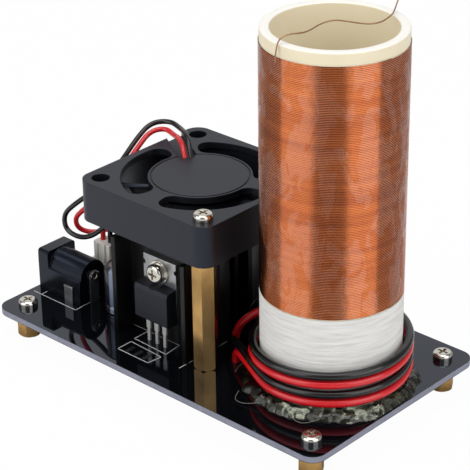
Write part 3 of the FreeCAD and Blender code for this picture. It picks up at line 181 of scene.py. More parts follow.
def scaled(
    tree: bpy.types.NodeTree, place: bpy.types.NodeSocket, scale: tuple[float, float, float]
) -> bpy.types.NodeSocket:
    """Coordinates multiplied along each axis."""
    return add_node(tree, "ShaderNodeMapping", {"Vector": place, "Scale": scale}).outputs["Vector"]


def bumped(tree: bpy.types.NodeTree, height: bpy.types.NodeSocket, relief: float) -> bpy.types.NodeSocket:
    """A surface direction from a height field, with its relief in millimetres."""
    inputs = {"Height": height, "Strength": 1.0, "Distance": relief * MM}
    return add_node(tree, "ShaderNodeBump", inputs).outputs["Normal"]


def principled(tree: bpy.types.NodeTree, inputs: dict) -> bpy.types.NodeSocket:
    """A surface shader with the given inputs."""
    return add_node(tree, "ShaderNodeBsdfPrincipled", inputs).outputs["BSDF"]


def grey(value: float) -> tuple[float, float, float, float]:
    """A neutral linear colour."""
    return value, value, value, 1.0


@dataclass(frozen=True)
class Finish:
    """A plain finish with an optional fine grain.

    The grain size is in millimetres, and the grain depth in millimetres of relief.
    """

    name: str
    slot: str
    colour: str
    roughness: float
    metallic: float = 0.0
    coat: float = 0.0
    grain: float = 0.0
    relief: float = 0.0
    mottle: float = 0.0
    ior: float = 1.5
    subsurface: float = 0.0
    sheen: str = "ffffff"

    coat_roughness = 0.08
    scatter_radii = (0.6, 0.5, 0.35)
    patch_share = 0.12
    mottle_limits = (0.32, 0.62)
    rough_limits = (0.3, 0.7)
    rough_shares = (1.25, 0.8)

    def material(self) -> bpy.types.Material:
        """Returns the finish's material, made once.

        The frame brings its own materials under the slots' plain names, so this name has an ending.
        """
        label = self.name + "_finish"
        found = bpy.data.materials.get(label)
        if found:
            return found
        made = bpy.data.materials.new(label)
        made.use_nodes = True
        made.node_tree.nodes.clear()
        shader = self.shade(made.node_tree)
        add_node(made.node_tree, "ShaderNodeOutputMaterial", {"Surface": shader})
        return made

    def shade(self, tree: bpy.types.NodeTree) -> bpy.types.NodeSocket:
        """Builds the surface shader and returns its output."""
        inputs = {
            "Base Color": linear(self.colour),
            "Roughness": self.roughness,
            "Metallic": self.metallic,
            "Coat Weight": self.coat,
            "Coat Roughness": self.coat_roughness,
            "IOR": self.ior,
            "Specular Tint": linear(self.sheen),
        }
        if self.subsurface:
            inputs["Subsurface Weight"] = self.subsurface
            inputs["Subsurface Radius"] = self.scatter_radii
            inputs["Subsurface Scale"] = MM
        if self.grain:
            place = object_place(tree)
            if self.relief:
                field = noise_field(tree, place, 1 / (self.grain * MM), 4.0, 0.6)
                inputs["Normal"] = bumped(tree, field, self.relief)
            if self.mottle:
                slow = noise_field(tree, place, self.patch_share / (self.grain * MM), 5.0, 0.65)
                base = linear(self.colour)
                dark = tuple(c * (1 - self.mottle) for c in base[:3]) + (1.0,)
                low, high = self.mottle_limits
                inputs["Base Color"] = ramp(tree, slow, [(low, dark), (high, base)])
                ends = tuple(self.roughness * share for share in self.rough_shares)
                inputs["Roughness"] = mapped(tree, slow, self.rough_limits, ends)
        return principled(tree, inputs)


@dataclass(frozen=True)
class WindingFinish(Finish):
    """Enamelled copper wire under a thin clear film: soft streaks round the tube, and patches of smooth film.

    Heights, patch, crease and relief are in millimetres.
    """

    dark: str = "a65a36"
    light: str = "bf6f40"
    streak_height: float = 2.0
    streaks_across: float = 30.0
    film_patch: float = 6.0
    film_crease: float = 4.6
    film_relief: float = 0.45

    streak_stops = (0.3, 0.5, 0.7)
    film_stretch = 0.6
    film_limits = (0.48, 0.51)
    film_weights = (0.1, 0.85)
    film_hazes = (0.4, 0.06)
    film_ior = 1.55

    def shade(self, tree: bpy.types.NodeTree) -> bpy.types.NodeSocket:
        """Builds the copper shader, with the film as its coat."""
        place = object_place(tree)
        across = self.streaks_across
        wound = scaled(tree, place, (across, across, 1 / (self.streak_height * MM)))
        streak = noise_field(tree, wound, 1.0, 2.0)
        shades = (linear(self.dark), linear(self.colour), linear(self.light))
        tall = scaled(tree, place, (1.0, 1.0, self.film_stretch))
        patch = noise_field(tree, tall, 1 / (self.film_patch * MM), 6.0, 0.6, 0.8)
        crease = noise_field(tree, tall, 1 / (self.film_crease * MM), 3.0, 0.5, 1.2)
        return principled(
            tree,
            {
                "Base Color": ramp(tree, streak, list(zip(self.streak_stops, shades))),
                "Metallic": self.metallic,
                "Roughness": self.roughness,
                "Coat Weight": mapped(tree, patch, self.film_limits, self.film_weights),
                "Coat Roughness": mapped(tree, patch, self.film_limits, self.film_hazes),
                "Coat IOR": self.film_ior,
                "Coat Normal": bumped(tree, crease, self.film_relief),
            },
        )


@dataclass(frozen=True)
class PaperFinish(Finish):
    """Crinkled paper tape with a faint weave that runs round the tube. Sizes are in millimetres."""

    dark: str = "d3d2cf"
    light: str = "e9e8e6"
    crinkle: float = 1.6
    thread: float = 0.45
    threads_across: float = 140.0

    thread_stops = (0.3, 0.5, 0.7)

    def shade(self, tree: bpy.types.NodeTree) -> bpy.types.NodeSocket:
        """Builds the paper shader from crinkles in its surface and fibres in its shade."""
        place = object_place(tree)
        crinkles = noise_field(tree, place, 1 / (self.crinkle * MM), 6.0, 0.65)
        across = self.threads_across
        woven = scaled(tree, place, (across, across, 1 / (self.thread * MM)))
        fibre = noise_field(tree, woven, 1.0, 3.0)
        both = add_node(tree, "ShaderNodeMath", {0: crinkles, 1: fibre}, operation="ADD").outputs["Value"]
        shades = (linear(self.dark), linear(self.colour), linear(self.light))
        return principled(
            tree,
            {
                "Base Color": ramp(tree, fibre, list(zip(self.thread_stops, shades))),
                "Roughness": self.roughness,
                "Normal": bumped(tree, both, self.relief),
            },
        )


@dataclass(frozen=True)
class GlueFinish(Finish):
    """Clear set glue with faint milky patches inside, whose size is in millimetres."""

    milk: float = 0.07
    patch: float = 1.8

    patch_limits = (0.5, 0.72)

    def shade(self, tree: bpy.types.NodeTree) -> bpy.types.NodeSocket:
        """Mixes a clear body with milky patches."""
        patches = noise_field(tree, object_place(tree), 1 / (self.patch * MM), 5.0, 0.7)
        return principled(
            tree,
            {
                "Base Color": linear(self.colour),
                "Roughness": self.roughness,
                "Transmission Weight": mapped(tree, patches, self.patch_limits, (1.0, 1 - self.milk)),
                "IOR": self.ior,
            },
        )


@dataclass(frozen=True)
class SleeveFinish(Finish):
    """Printed shrink sleeve of a small capacitor: dark, with one pale stripe from foot to top.

    The centre is in millimetres, and the stripe's bearing and half angle in degrees.
    """

    stripe: str = "76829a"
    centre: tuple[float, float] = (-26.1, -9.3)
    bearing: float = -72.0
    half_angle: float = 18.0

    coat_roughness = 0.12
    edge_blur = 0.01

    def shade(self, tree: bpy.types.NodeTree) -> bpy.types.NodeSocket:
        """Colours the sleeve by the bearing from its own axis."""
        place = object_place(tree)
        middle = (-self.centre[0] * MM, -self.centre[1] * MM, 0.0)
        shift = add_node(tree, "ShaderNodeMapping", {"Vector": place, "Location": middle}).outputs["Vector"]
        level = {0: shift, 1: (1.0, 1.0, 0.0)}
        flat = add_node(tree, "ShaderNodeVectorMath", level, operation="MULTIPLY").outputs["Vector"]
        unit = add_node(tree, "ShaderNodeVectorMath", {0: flat}, operation="NORMALIZE").outputs["Vector"]
        a = math.radians(self.bearing)
        pair = {0: unit, 1: (math.cos(a), math.sin(a), 0.0)}
        along = add_node(tree, "ShaderNodeVectorMath", pair, operation="DOT_PRODUCT").outputs["Value"]
        edge = math.cos(math.radians(self.half_angle))
        mask = mapped(tree, along, (edge - self.edge_blur, edge + self.edge_blur))
        return principled(
            tree,
            {
                "Base Color": ramp(tree, mask, [(0.0, linear(self.colour)), (1.0, linear(self.stripe))]),
                "Roughness": self.roughness,
                "Coat Weight": self.coat,
                "Coat Roughness": self.coat_roughness,
            },
        )


# Glossy black solder mask on glass-fibre board
MASK = Finish("solder_mask", "solder_mask", "08090c", 0.035, grain=6.0, mottle=0.1, ior=1.62, sheen="d2e0ff")
# Sawn glass-fibre edge, pale between two dark skins
LAMINATE = Finish("glass_fibre_laminate", "solder_mask", "898b9c", 0.6, grain=0.4, relief=0.02, mottle=0.15)
# White printed legend ink
INK = Finish("legend_ink", "solder_mask", "bcbcbc", 0.55)
# Tinned copper pads
PAD = Finish("tinned_pad", "solder", "5a5d62", 0.4, metallic=1.0, grain=0.8, mottle=0.2)
# Turned brass hexagon bar, slightly tarnished
BRASS = Finish("brass", "brass", "cba266", 0.2, metallic=1.0, grain=1.0, relief=0.005, mottle=0.4)
# Nickel-plated steel screws
NICKEL = Finish("nickel_plate", "nickel_screw", "dedad0", 0.15, metallic=1.0, grain=1.2, mottle=0.12)
# Moulded charcoal polyester with a fine spark texture
FAN_PLASTIC = Finish("fan_polyester", "fan_plastic", "18191c", 0.4, grain=0.35, relief=0.01, sheen="d8e2ff")
# Black anodised aluminium extrusion
ANODISED = Finish("black_anodised", "black_anodised", "060606", 0.32, grain=0.4, relief=0.003)
# Moulded epoxy of the transistors
EPOXY = Finish("epoxy", "epoxy", "161618", 0.5, grain=0.3, relief=0.008, sheen="dfe6ff")
# Tinned copper of tabs and leads
TINNED = Finish("tinned_copper", "tinned_tab", "b4b6b8", 0.33, metallic=1.0, grain=1.5, mottle=0.2)
LEAD = Finish("tinned_lead", "tinned_tab", "cfcfcc", 0.5, metallic=0.55)
TINNED_PIN = Finish("tinned_pin", "tinned_pin", "b9b9ba", 0.3, metallic=1.0)
# Moulded black plastic of the power jack
JACK_PLASTIC = Finish("jack_plastic", "jack_plastic", "08090b", 0.24, grain=0.4, relief=0.006, sheen="a4b4dc")
# Drawn aluminium can
CAN = Finish("can_aluminium", "can_aluminium", "bcbcc0", 0.28, metallic=1.0)
SLEEVE = SleeveFinish("printed_sleeve", "printed_sleeve", "1b1a20", 0.3, coat=0.4)
RUBBER = Finish("seal_rubber", "seal_rubber", "1a1a1a", 0.7)
# White nylon of header and plug
NYLON = Finish("nylon", "header_plastic", "e0dfd9", 0.35, subsurface=0.3)
LACQUER = Finish("resistor_lacquer", "resistor_lacquer", "4c7391", 0.3, coat=0.5)
# Rigid cream-white plastic tube
TUBE = Finish("tube_plastic", "white_tube", "ece1c4", 0.34, grain=3.0, mottle=0.03, subsurface=0.2)
# A whiter copy of the same plastic on the rim's upward faces: a painted highlight from above
RIM_PAINTED_HIGHLIGHT = Finish("tube_rim_painted_highlight", "white_tube", "f3f0e9", 0.5)
COPPER = WindingFinish("enamelled_winding", "enamelled_copper", "b5653b", 0.16, metallic=1.0)
FINE_WIRE = Finish("fine_enamelled_wire", "enamelled_copper", "a8805f", 0.35, metallic=0.8)
ENAMEL = Finish("enamelled_wire", "enamelled_copper", "8a4526", 0.3, metallic=1.0, coat=0.4)
PAPER = PaperFinish("paper_tape", "paper_tape", "e2e1de", 0.85, relief=0.12)
RED_PVC = Finish("red_pvc", "red_insulation", "d2141e", 0.26, coat=0.35, grain=2.0, relief=0.01)
BLACK_PVC = Finish("black_pvc", "black_insulation", "070708", 0.24, coat=0.25, grain=2.0, relief=0.01)
GLUE = GlueFinish("clear_glue", "clear_glue", "868a7b", 0.12, ior=1.47)
# Drawn strings and flakes of the same glue, milky where they are thin
GLUE_STRING = Finish("glue_string", "clear_glue", "7c7c74", 0.3)
# Magnetic rubber, sintered bronze, plain steel and solder of the hidden parts
MAGNET = Finish("magnet_rubber", "magnet_rubber", "2b2726", 0.7)
BRONZE = Finish("bearing_bronze", "bearing_bronze", "a9713f", 0.4, metallic=1.0)
STEEL = Finish("plain_steel", "steel", "8f8f92", 0.35, metallic=1.0)
SOLDER = Finish("solder", "solder", "c8c9cb", 0.22, metallic=1.0, grain=0.6, mottle=0.1)


# Meshes


def loop_points(points: Iterable[tuple[float, float]]) -> list[tuple[float, float]]:
    """Drops points that repeat the one before them."""
    kept: list[tuple[float, float]] = []
    for p in points:
        if not kept or math.dist(p, kept[-1]) > 1e-6:
            kept.append(p)
    if math.dist(kept[0], kept[-1]) < 1e-6:
        kept.pop()
    return kept


def circle(x: float, y: float, radius: float, count: int = 40) -> list[tuple[float, float]]:
    """Points of a circle, in millimetres."""
    return [
        (x + radius * math.cos(2 * math.pi * k / count), y + radius * math.sin(2 * math.pi * k / count))
        for k in range(count)
    ]


def rounded_rectangle(
    half_x: float, half_y: float, radius: float, count: int = 12
) -> list[tuple[float, float]]:
    """Points of a rectangle with round corners about the origin, in millimetres."""
    points = []
    for corner, (sx, sy) in enumerate(((1, 1), (-1, 1), (-1, -1), (1, -1))):
        cx, cy = sx * (half_x - radius), sy * (half_y - radius)
        for k in range(count + 1):
            a = math.pi / 2 * (corner + k / count)
            points.append((cx + radius * math.cos(a), cy + radius * math.sin(a)))
    return loop_points(points)


def plate(loops: Sequence[Sequence[tuple[float, float]]], low: float, high: float) -> bmesh.types.BMesh:
    """An upright prism with holes.

    Args:
        loops: The outline and then its holes, in millimetres.
        low: Height of the lower face.
        high: Height of the upper face.

    Returns:
        A closed mesh in metres.
    """
    curve = bpy.data.curves.new("outline", "CURVE")
    curve.dimensions = "2D"
    curve.fill_mode = "BOTH"
    curve.extrude = (high - low) / 2 * MM
    for points in loops:
        line = curve.splines.new("POLY")
        line.points.add(len(points) - 1)
        for target, (x, y) in zip(line.points, points):
            target.co = (x * MM, y * MM, 0.0, 1.0)
        line.use_cyclic_u = True
    holder = bpy.data.objects.new("outline", curve)
    bpy.context.scene.collection.objects.link(holder)
    mesh = bpy.data.meshes.new_from_object(holder.evaluated_get(bpy.context.evaluated_depsgraph_get()))
    bm = bmesh.new()
    bm.from_mesh(mesh)
    bpy.data.objects.remove(holder)
    bpy.data.curves.remove(curve)
    bpy.data.meshes.remove(mesh)
    bmesh.ops.remove_doubles(bm, verts=bm.verts, dist=1e-7)
    bmesh.ops.translate(bm, verts=bm.verts, vec=(0, 0, (low + high) / 2 * MM))
    return bm


def turned(
    profile: Sequence[tuple[float, float]], x: float, y: float, steps: int = 96, closed: bool = True
) -> bmesh.types.BMesh:
    """A profile spun about an upright axis.

    Args:
        profile: Radius and height of each point, in millimetres.
        x: Place of the axis.
        y: Place of the axis.
        steps: Number of facets round the axis.
        closed: Whether the last point joins the first.

    Returns:
        The spun mesh in metres.
    """
    bm = bmesh.new()
    verts = [bm.verts.new((r * MM, 0.0, z * MM)) for r, z in profile]
    count = len(verts) if closed else len(verts) - 1
    edges = [bm.edges.new((verts[k], verts[(k + 1) % len(verts)])) for k in range(count)]
    bmesh.ops.spin(
        bm,
        geom=verts + edges,
        cent=(0, 0, 0),
        axis=(0, 0, 1),
        dvec=(0, 0, 0),
        angle=math.tau,
        steps=steps,
        use_merge=True,
        use_duplicate=False,
    )
    bmesh.ops.remove_doubles(bm, verts=bm.verts, dist=1e-7)
    bmesh.ops.translate(bm, verts=bm.verts, vec=(x * MM, y * MM, 0))
    bmesh.ops.recalc_face_normals(bm, faces=bm.faces)
    return bm


def join_rings(bm: bmesh.types.BMesh, rings: Sequence[Sequence[bmesh.types.BMVert]]) -> None:
    """Joins rings of vertices into one closed skin, the last ring to the first."""
    count = len(rings[0])
    for lower, upper in zip(rings, [*rings[1:], rings[0]]):
        for j in range(count):
            i = (j + 1) % count
            bm.faces.new((lower[j], lower[i], upper[i], upper[j]))
    bmesh.ops.recalc_face_normals(bm, faces=bm.faces)


def node_copy(node: str) -> bmesh.types.BMesh:
    """A merged copy of one node of the frame, with its flat faces whole again."""
    bm = bmesh.new()
    bm.from_mesh(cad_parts[node].data)
    bmesh.ops.remove_doubles(bm, verts=bm.verts, dist=1e-6)
    bmesh.ops.dissolve_limit(bm, angle_limit=math.radians(0.5), verts=bm.verts, edges=bm.edges)
    return bm


class Assembly:
    """A group of pieces that share a body of the frame."""

    body = Body.BASE

    def add(
        self,
        name: str,
        bm: bmesh.types.BMesh,
        finishes: Sequence[Finish],
        nodes: Sequence[str] = (),
        edge: float = 0.0,
        smooth: float = 32.0,
        body: Optional[Body] = None,
    ) -> bpy.types.Object:
        """Makes one piece from a mesh.

        Args:
            name: The piece's name.
            bm: Its mesh in metres, freed here.
            finishes: Its finishes, one for each material index.
            nodes: Nodes of the frame that it stands for.
            edge: Radius of its softened edges, in millimetres.
            smooth: Largest angle that is shaded smooth, in degrees.
            body: The body it rides on, if not the assembly's own.

        Returns:
            The new object.
        """
        mesh = bpy.data.meshes.new(name)
        bm.to_mesh(mesh)
        bm.free()
        for polygon in mesh.polygons:
            polygon.use_smooth = True
        mesh.set_sharp_from_angle(angle=math.radians(smooth))
        for finish in finishes:
            mesh.materials.append(finish.material())
        piece = bpy.data.objects.new(name, mesh)
        bpy.context.scene.collection.objects.link(piece)
        if edge:
            bevel = piece.modifiers.new("soft_edges", "BEVEL")
            bevel.width = edge * MM
            bevel.segments = 2
            bevel.limit_method = "ANGLE"
            bevel.angle_limit = math.radians(40)
            bevel.harden_normals = False
        self.settle(piece, nodes, body)
        return piece

    def settle(
        self, piece: bpy.types.Object, nodes: Sequence[str] = (), body: Optional[Body] = None
    ) -> None:
        """Lets a piece ride on its body and stand for its nodes."""
        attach(piece, (body or self.body).value)
        if nodes:
            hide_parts(*nodes)
        log.info("%s stands for %s", piece.name, ", ".join(nodes) or "no node")

    def copy(
        self, node: str, finish: Finish, edge: float = 0.0, smooth: float = 32.0, body: Optional[Body] = None
    ) -> bpy.types.Object:
        """A dressed copy of one node of the frame."""
        return self.add(node + "_look", node_copy(node), [finish], [node], edge, smooth, body)

    def dress(self, node: str, finish: Finish) -> None:
        """Gives a node of the frame its finish where it is shown as it is."""
        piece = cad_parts[node]
        piece.data.materials.clear()
        piece.data.materials.append(finish.material())
        log.info("%s is shown as it is", node)

    def line(
        self,
        name: str,
        points: Sequence[Point],
        radius: float,
        finish: Finish,
        nodes: Sequence[str] = (),
        resolution: int = 8,
    ) -> bpy.types.Object:
        """A round wire along control points, in millimetres."""
        curve = bpy.data.curves.new(name, "CURVE")
        curve.dimensions = "3D"
        spline = curve.splines.new("NURBS")
        spline.points.add(len(points) - 1)
        for target, p in zip(spline.points, points):
            target.co = (p[0] * MM, p[1] * MM, p[2] * MM, 1.0)
        spline.order_u = 3
        spline.use_endpoint_u = True
        curve.resolution_u = resolution
        curve.bevel_depth = radius * MM
        curve.bevel_resolution = 5
        curve.use_fill_caps = True
        curve.materials.append(finish.material())
        piece = bpy.data.objects.new(name, curve)
        bpy.context.scene.collection.objects.link(piece)
        self.settle(piece, nodes)
        return piece


@dataclass
class CircuitBoard(Assembly):
    """The board with its legend, pads, feet and screws."""

    length: float = 100.0
    width: float = 56.6
    thickness: float = 1.6
    corner: float = 3.5
    bottom: float = 6.0
    hole: float = 1.4
    inset: float = 5.5
    ink_width: float = 0.22

    @property
    def top(self) -> float:
        """Height of the board's upper face."""
        return self.bottom + self.thickness

    def build(self) -> None:
        """Builds every piece of the board."""
        self.laminate()
        self.legend()
        self.pads()
        for node in ("foot_screws", "standoff_screws"):
            self.copy(node, NICKEL, edge=0.06)
        self.copy("foot_standoffs", BRASS, edge=0.08)
        self.dress("solder_joints", SOLDER)

    def laminate(self) -> None:
        """The board itself: dark faces and a pale sawn edge."""
        x, y = self.length / 2 - self.inset, self.width / 2 - self.inset
        loops = [rounded_rectangle(self.length / 2, self.width / 2, self.corner)]
        loops += [circle(sx * x, sy * y, self.hole) for sx in (-1, 1) for sy in (-1, 1)]
        skin = 0.12
        bm = plate(loops, self.bottom, self.top)
        for height in (self.bottom + skin, self.top - skin):
            bmesh.ops.bisect_plane(
                bm,
                geom=bm.verts[:] + bm.edges[:] + bm.faces[:],
                plane_co=(0, 0, height * MM),
                plane_no=(0, 0, 1),
                dist=1e-7,
            )
        for face in bm.faces:
            middle = face.calc_center_median().z / MM
            if self.bottom + skin < middle < self.top - skin and abs(face.normal.z) < 0.5:
                face.material_index = 1
        self.add("circuit_board_look", bm, [MASK, LAMINATE], ["circuit_board"], smooth=25)

    def strip(
        self,
        bm: bmesh.types.BMesh,
        start: tuple[float, float],
        end: tuple[float, float],
        width: float,
        height: float,
    ) -> None:
        """Adds one thin raised strip between two points of the board."""
        a, b = Vector(start), Vector(end)
        way = (b - a).normalized()
        side = Vector((-way.y, way.x)) * (width / 2)
        a, b = a - way * (width / 2), b + way * (width / 2)
        corners = [a - side, b - side, b + side, a + side]
        low = [bm.verts.new((p.x * MM, p.y * MM, self.top * MM)) for p in corners]
        high = [bm.verts.new((p.x * MM, p.y * MM, (self.top + height) * MM)) for p in corners]
        bm.faces.new(high)
        for k in range(4):
            j = (k + 1) % 4
            bm.faces.new((low[k], low[j], high[j], high[k]))

    def legend(self) -> None:
        """White printed lines round the parts."""
        w = self.ink_width
        lines = [
            ((-19.8, -12.6), (-4.0, -12.6), 0.4),
            ((-14.0, -17.3), (-3.5, -17.7), w),
            ((-3.5, -17.7), (-4.0, -12.5), w),
            ((-14.0, -17.3), (-14.0, -12.6), w),
            ((-13.6, -23.1), (-13.6, -18.8), w),
            ((-13.6, -18.8), (-3.5, -19.25), w),
            ((-3.5, -19.25), (-3.9, -23.1), w),
            ((-3.9, -23.1), (-13.6, -23.1), w),
            ((3.0, -20.0), (3.0, -3.9), w),
            ((1.8, 5.0), (3.6, 4.7), w),
            ((3.6, 4.7), (3.9, 6.9), w),
            ((-48.5, -17.2), (-34.1, -17.1), w),
            ((-34.1, -17.1), (-34.4, -8.8), w),
            ((-46.0, -17.2), (-46.0, -14.7), w),
        ]
        bm = bmesh.new()
        for start, end, width in lines:
            self.strip(bm, start, end, width, 0.03)
        self.add("legend", bm, [INK], smooth=20)

    def pads(self) -> None:
        """Bare tinned pads of the unused footprint in front."""
        bm = bmesh.new()
        for x, y in ((-11.3, -21.3), (-8.6, -21.4), (-6.0, -21.3)):
            self.strip(bm, (x, y - 0.7), (x, y + 0.7), 1.1, 0.04)
        self.add("spare_pads", bm, [PAD], smooth=20)


@dataclass
class CoolingFan(Assembly):
    """The fan over the heat sinks, with its screws and standoffs."""

    def build(self) -> None:
        """Builds the fan's still and turning pieces."""
        self.copy("fan_frame", FAN_PLASTIC, edge=0.25)
        self.copy("fan_impeller", FAN_PLASTIC, edge=0.1, body=Body.ROTOR)
        self.copy("fan_screws", NICKEL, edge=0.06)
        self.copy("fan_standoffs", BRASS, edge=0.08)
        self.dress("fan_shaft", STEEL)
        self.dress("fan_magnet_ring", MAGNET)
        self.dress("fan_bearing", BRONZE)
        self.dress("fan_stator_core", STEEL)
        self.dress("fan_stator_coils", ENAMEL)
        self.dress("fan_circuit", MASK)


@dataclass
class PowerStage(Assembly):
    """The two heat sinks with their transistors and the small parts between them."""

    def build(self) -> None:
        """Builds both sides alike."""
        for place in ("front", "rear"):
            self.copy("heat_sink_" + place, ANODISED, edge=0.12)
            self.copy("transistor_tab_" + place, TINNED, edge=0.08)
            self.copy("transistor_body_" + place, EPOXY, edge=0.15)
            self.copy("transistor_leads_" + place, LEAD, edge=0.05)
        self.copy("tab_screws", NICKEL, edge=0.06)
        self.copy("tab_washers", NICKEL, edge=0.06)
        self.dress("heat_sink_pins", TINNED_PIN)
        self.copy("resistor_bodies", LACQUER)
        self.dress("resistor_leads", TINNED_PIN)


@dataclass
class PowerInlet(Assembly):
    """The power jack, the capacitor and the fan's header."""

    def build(self) -> None:
        """Builds the parts at the board's left end."""
        self.copy("power_jack_housing", JACK_PLASTIC, edge=0.18)
        self.copy("power_jack_pin", NICKEL, edge=0.06)
        self.copy("power_jack_terminals", TINNED, edge=0.06)
        self.copy("capacitor_can", CAN)
        self.copy("capacitor_sleeve", SLEEVE)
        self.dress("capacitor_seal", RUBBER)
        self.dress("capacitor_leads", TINNED_PIN)
        self.copy("fan_header", NYLON, edge=0.15)
        self.dress("fan_header_pins", TINNED_PIN)
        self.copy("fan_plug", NYLON, edge=0.15)


@dataclass
class Coil(Assembly):
    """The coil tube with its winding, paper band, glue, glue strings and fine wire."""

    x: float = 30.6
    radius: float = 15.6
    wall: float = 2.15
    foot: float = 7.6
    height: float = 83.2
    edge: float = 0.35
    paper_low: float = 10.0
    paper_high: float = 30.6
    paper: float = 0.25
    gap: float = 0.02
    winding_low: float = 30.62
    winding_high: float = 88.0
    pitch: float = 0.38
    valley: float = 0.1
    crest: float = 0.19
    glue_outer: float = 21.0
    glue_height: float = 2.1
    board_half_x: float = 50.0
    board_half_y: float = 28.3
    glue_edge: float = 0.4
    glue_lift: float = 0.01
    glue_margin: float = 1.3
    glue_wander: float = 1.5
    glue_ripple: float = 0.8
    glue_lump: float = 0.22
    string: float = 0.06
    fine_radius: float = 0.16
    fine_length: float = 0.0408

    def build(self) -> None:
        """Builds the coil from its core outwards."""
        self.tube()
        self.winding()
        self.band()
        self.glue()
        self.strings()
        self.fine_wire()

    def spot(self, radius: float, angle: float, height: float) -> Point:
        """A place round the coil's axis, from millimetres to metres."""
        return (self.x + radius * math.cos(angle)) * MM, radius * math.sin(angle) * MM, height * MM

    def strings(self) -> None:
        """Hair-like strings of glue that lie on the bank and the board."""
        routes = [
            ((46.6, -12.5, 1.0), (47.8, -9.6, 1.5), (48.3, -6.2, 1.2), (48.0, -3.4, 1.6), (46.9, -1.2, 1.9)),
            (
                (27.5, -20.4, 1.2), (25.2, -21.8, 0.5), (22.6, -22.2, 0.3), (20.9, -21.2, 0.3),
                (20.6, -19.3, 0.9),
            ),
            ((14.6, -13.9, 0.9), (13.2, -12.0, 0.4), (12.6, -9.6, 0.4), (13.3, -7.7, 0.9)),
            ((35.6, -20.0, 1.5), (38.2, -20.6, 0.7), (40.6, -19.3, 0.9), (41.9, -17.0, 1.5)),
        ]
        for number, route in enumerate(routes, 1):
            points = [(x, y, z + self.foot) for x, y, z in route]
            self.line(f"glue_string_{number}", points, self.string, GLUE_STRING)

    def tube(self) -> None:
        """The plastic tube with softly rounded rims, whose upward faces get a whiter painted highlight."""
        inner, outer, e = self.radius - self.wall, self.radius, self.edge
        top = self.foot + self.height
        turns = (math.pi / 6, math.pi / 3, math.pi / 2)
        profile = [(inner, self.foot), (outer, self.foot), (outer, top - e)]
        profile += [(outer - e + e * math.cos(a), top - e + e * math.sin(a)) for a in turns]
        profile += [(inner + e - e * math.cos(a), top - e + e * math.sin(a)) for a in reversed(turns)]
        profile.append((inner, top - e))
        bm = turned(profile, self.x, 0, 128)
        # Upward faces take the whiter rim colour: a painted highlight from above.
        for face in bm.faces:
            if face.normal.z > 0.3:
                face.material_index = 1
        self.add("coil_tube", bm, [TUBE, RIM_PAINTED_HIGHLIGHT], ["coil_former"])

    def winding(self) -> None:
        """One layer of round turns, as a single scalloped surface that climbs round the tube."""
        columns = 96
        shares = (0.0, 0.25, 0.5, 0.75)
        turns = int((self.winding_high - self.winding_low) / self.pitch)
        bm = bmesh.new()
        rows = []
        for step in range((turns + 1) * columns):
            a = math.tau * step / columns
            row = []
            for share in shares:
                z = self.winding_low + self.pitch * (step / columns + share - 1)
                swell = math.sin(math.pi * share)
                wander = noise.noise((math.cos(a) * 1.5, math.sin(a) * 1.5, z * 0.8)) * 0.02
                r = self.radius + self.valley + (self.crest - self.valley) * swell + wander
                z = min(max(z, self.winding_low), self.winding_high)
                row.append(bm.verts.new(self.spot(r, a, z)))
            rows.append(row)
        for step in range(len(rows) - 1):
            here, ahead = rows[step], rows[step + 1]
            for k in range(len(shares) - 1):
                bm.faces.new((here[k], ahead[k], ahead[k + 1], here[k + 1]))
            if step + columns + 1 < len(rows):
                above, above_ahead = rows[step + columns], rows[step + columns + 1]
                bm.faces.new((here[-1], ahead[-1], above_ahead[0], above[0]))
        bmesh.ops.remove_doubles(bm, verts=bm.verts, dist=1e-7)
        bmesh.ops.dissolve_degenerate(bm, edges=bm.edges, dist=1e-7)
        bmesh.ops.recalc_face_normals(bm, faces=bm.faces)
        self.add("secondary_winding", bm, [COPPER], ["secondary_turns"], smooth=60)

    def band(self) -> None:
        """The paper band, with a slightly uneven upper edge and faint creases."""
        columns, rows = 180, 24
        ragged, ragged_step, crease, sunk = 0.22, 0.25, 0.06, 0.07
        inner = self.radius + self.gap
        bm = bmesh.new()
        grid = []
        for k in range(rows + 1):
            ring = []
            for j in range(columns):
                a = math.tau * j / columns
                share = k / rows
                z = self.paper_low + (self.paper_high - self.paper_low) * share
                if k == rows:
                    z -= ragged_step + ragged * noise.noise((math.cos(a) * 9, math.sin(a) * 9, 0))
                fold = noise.noise((math.cos(a) * 7, math.sin(a) * 7, z * 0.35)) * crease
                r = inner + self.paper - sunk + fold
                ring.append(bm.verts.new(self.spot(r, a, z)))
            grid.append(ring)
        low, high = [], []
        for j in range(columns):
            x, y, z = self.spot(inner, math.tau * j / columns, self.paper_low)
            low.append(bm.verts.new((x, y, z)))
            high.append(bm.verts.new((x, y, grid[-1][j].co.z)))
        join_rings(bm, [low, *grid, high])
        self.add("paper_band_look", bm, [PAPER], ["paper_band"], smooth=50)

    def spread(self, a: float) -> float:
        """Outer radius of the glue at one bearing, held inside the board's edges."""
        reach = self.glue_outer - self.glue_margin
        reach += self.glue_wander * noise.noise((math.cos(a) * 4.2, math.sin(a) * 4.2, 4.0))
        reach += self.glue_ripple * noise.noise((math.cos(a) * 13, math.sin(a) * 13, 9.0))
        tiny = 1e-6
        limit_x = (self.board_half_x - self.glue_edge - self.x) / max(math.cos(a), tiny)
        limit_y = (self.board_half_y - self.glue_edge) / max(abs(math.sin(a)), tiny)
        return min(reach, self.glue_outer - 0.05, limit_x if math.cos(a) > 0 else reach, limit_y)

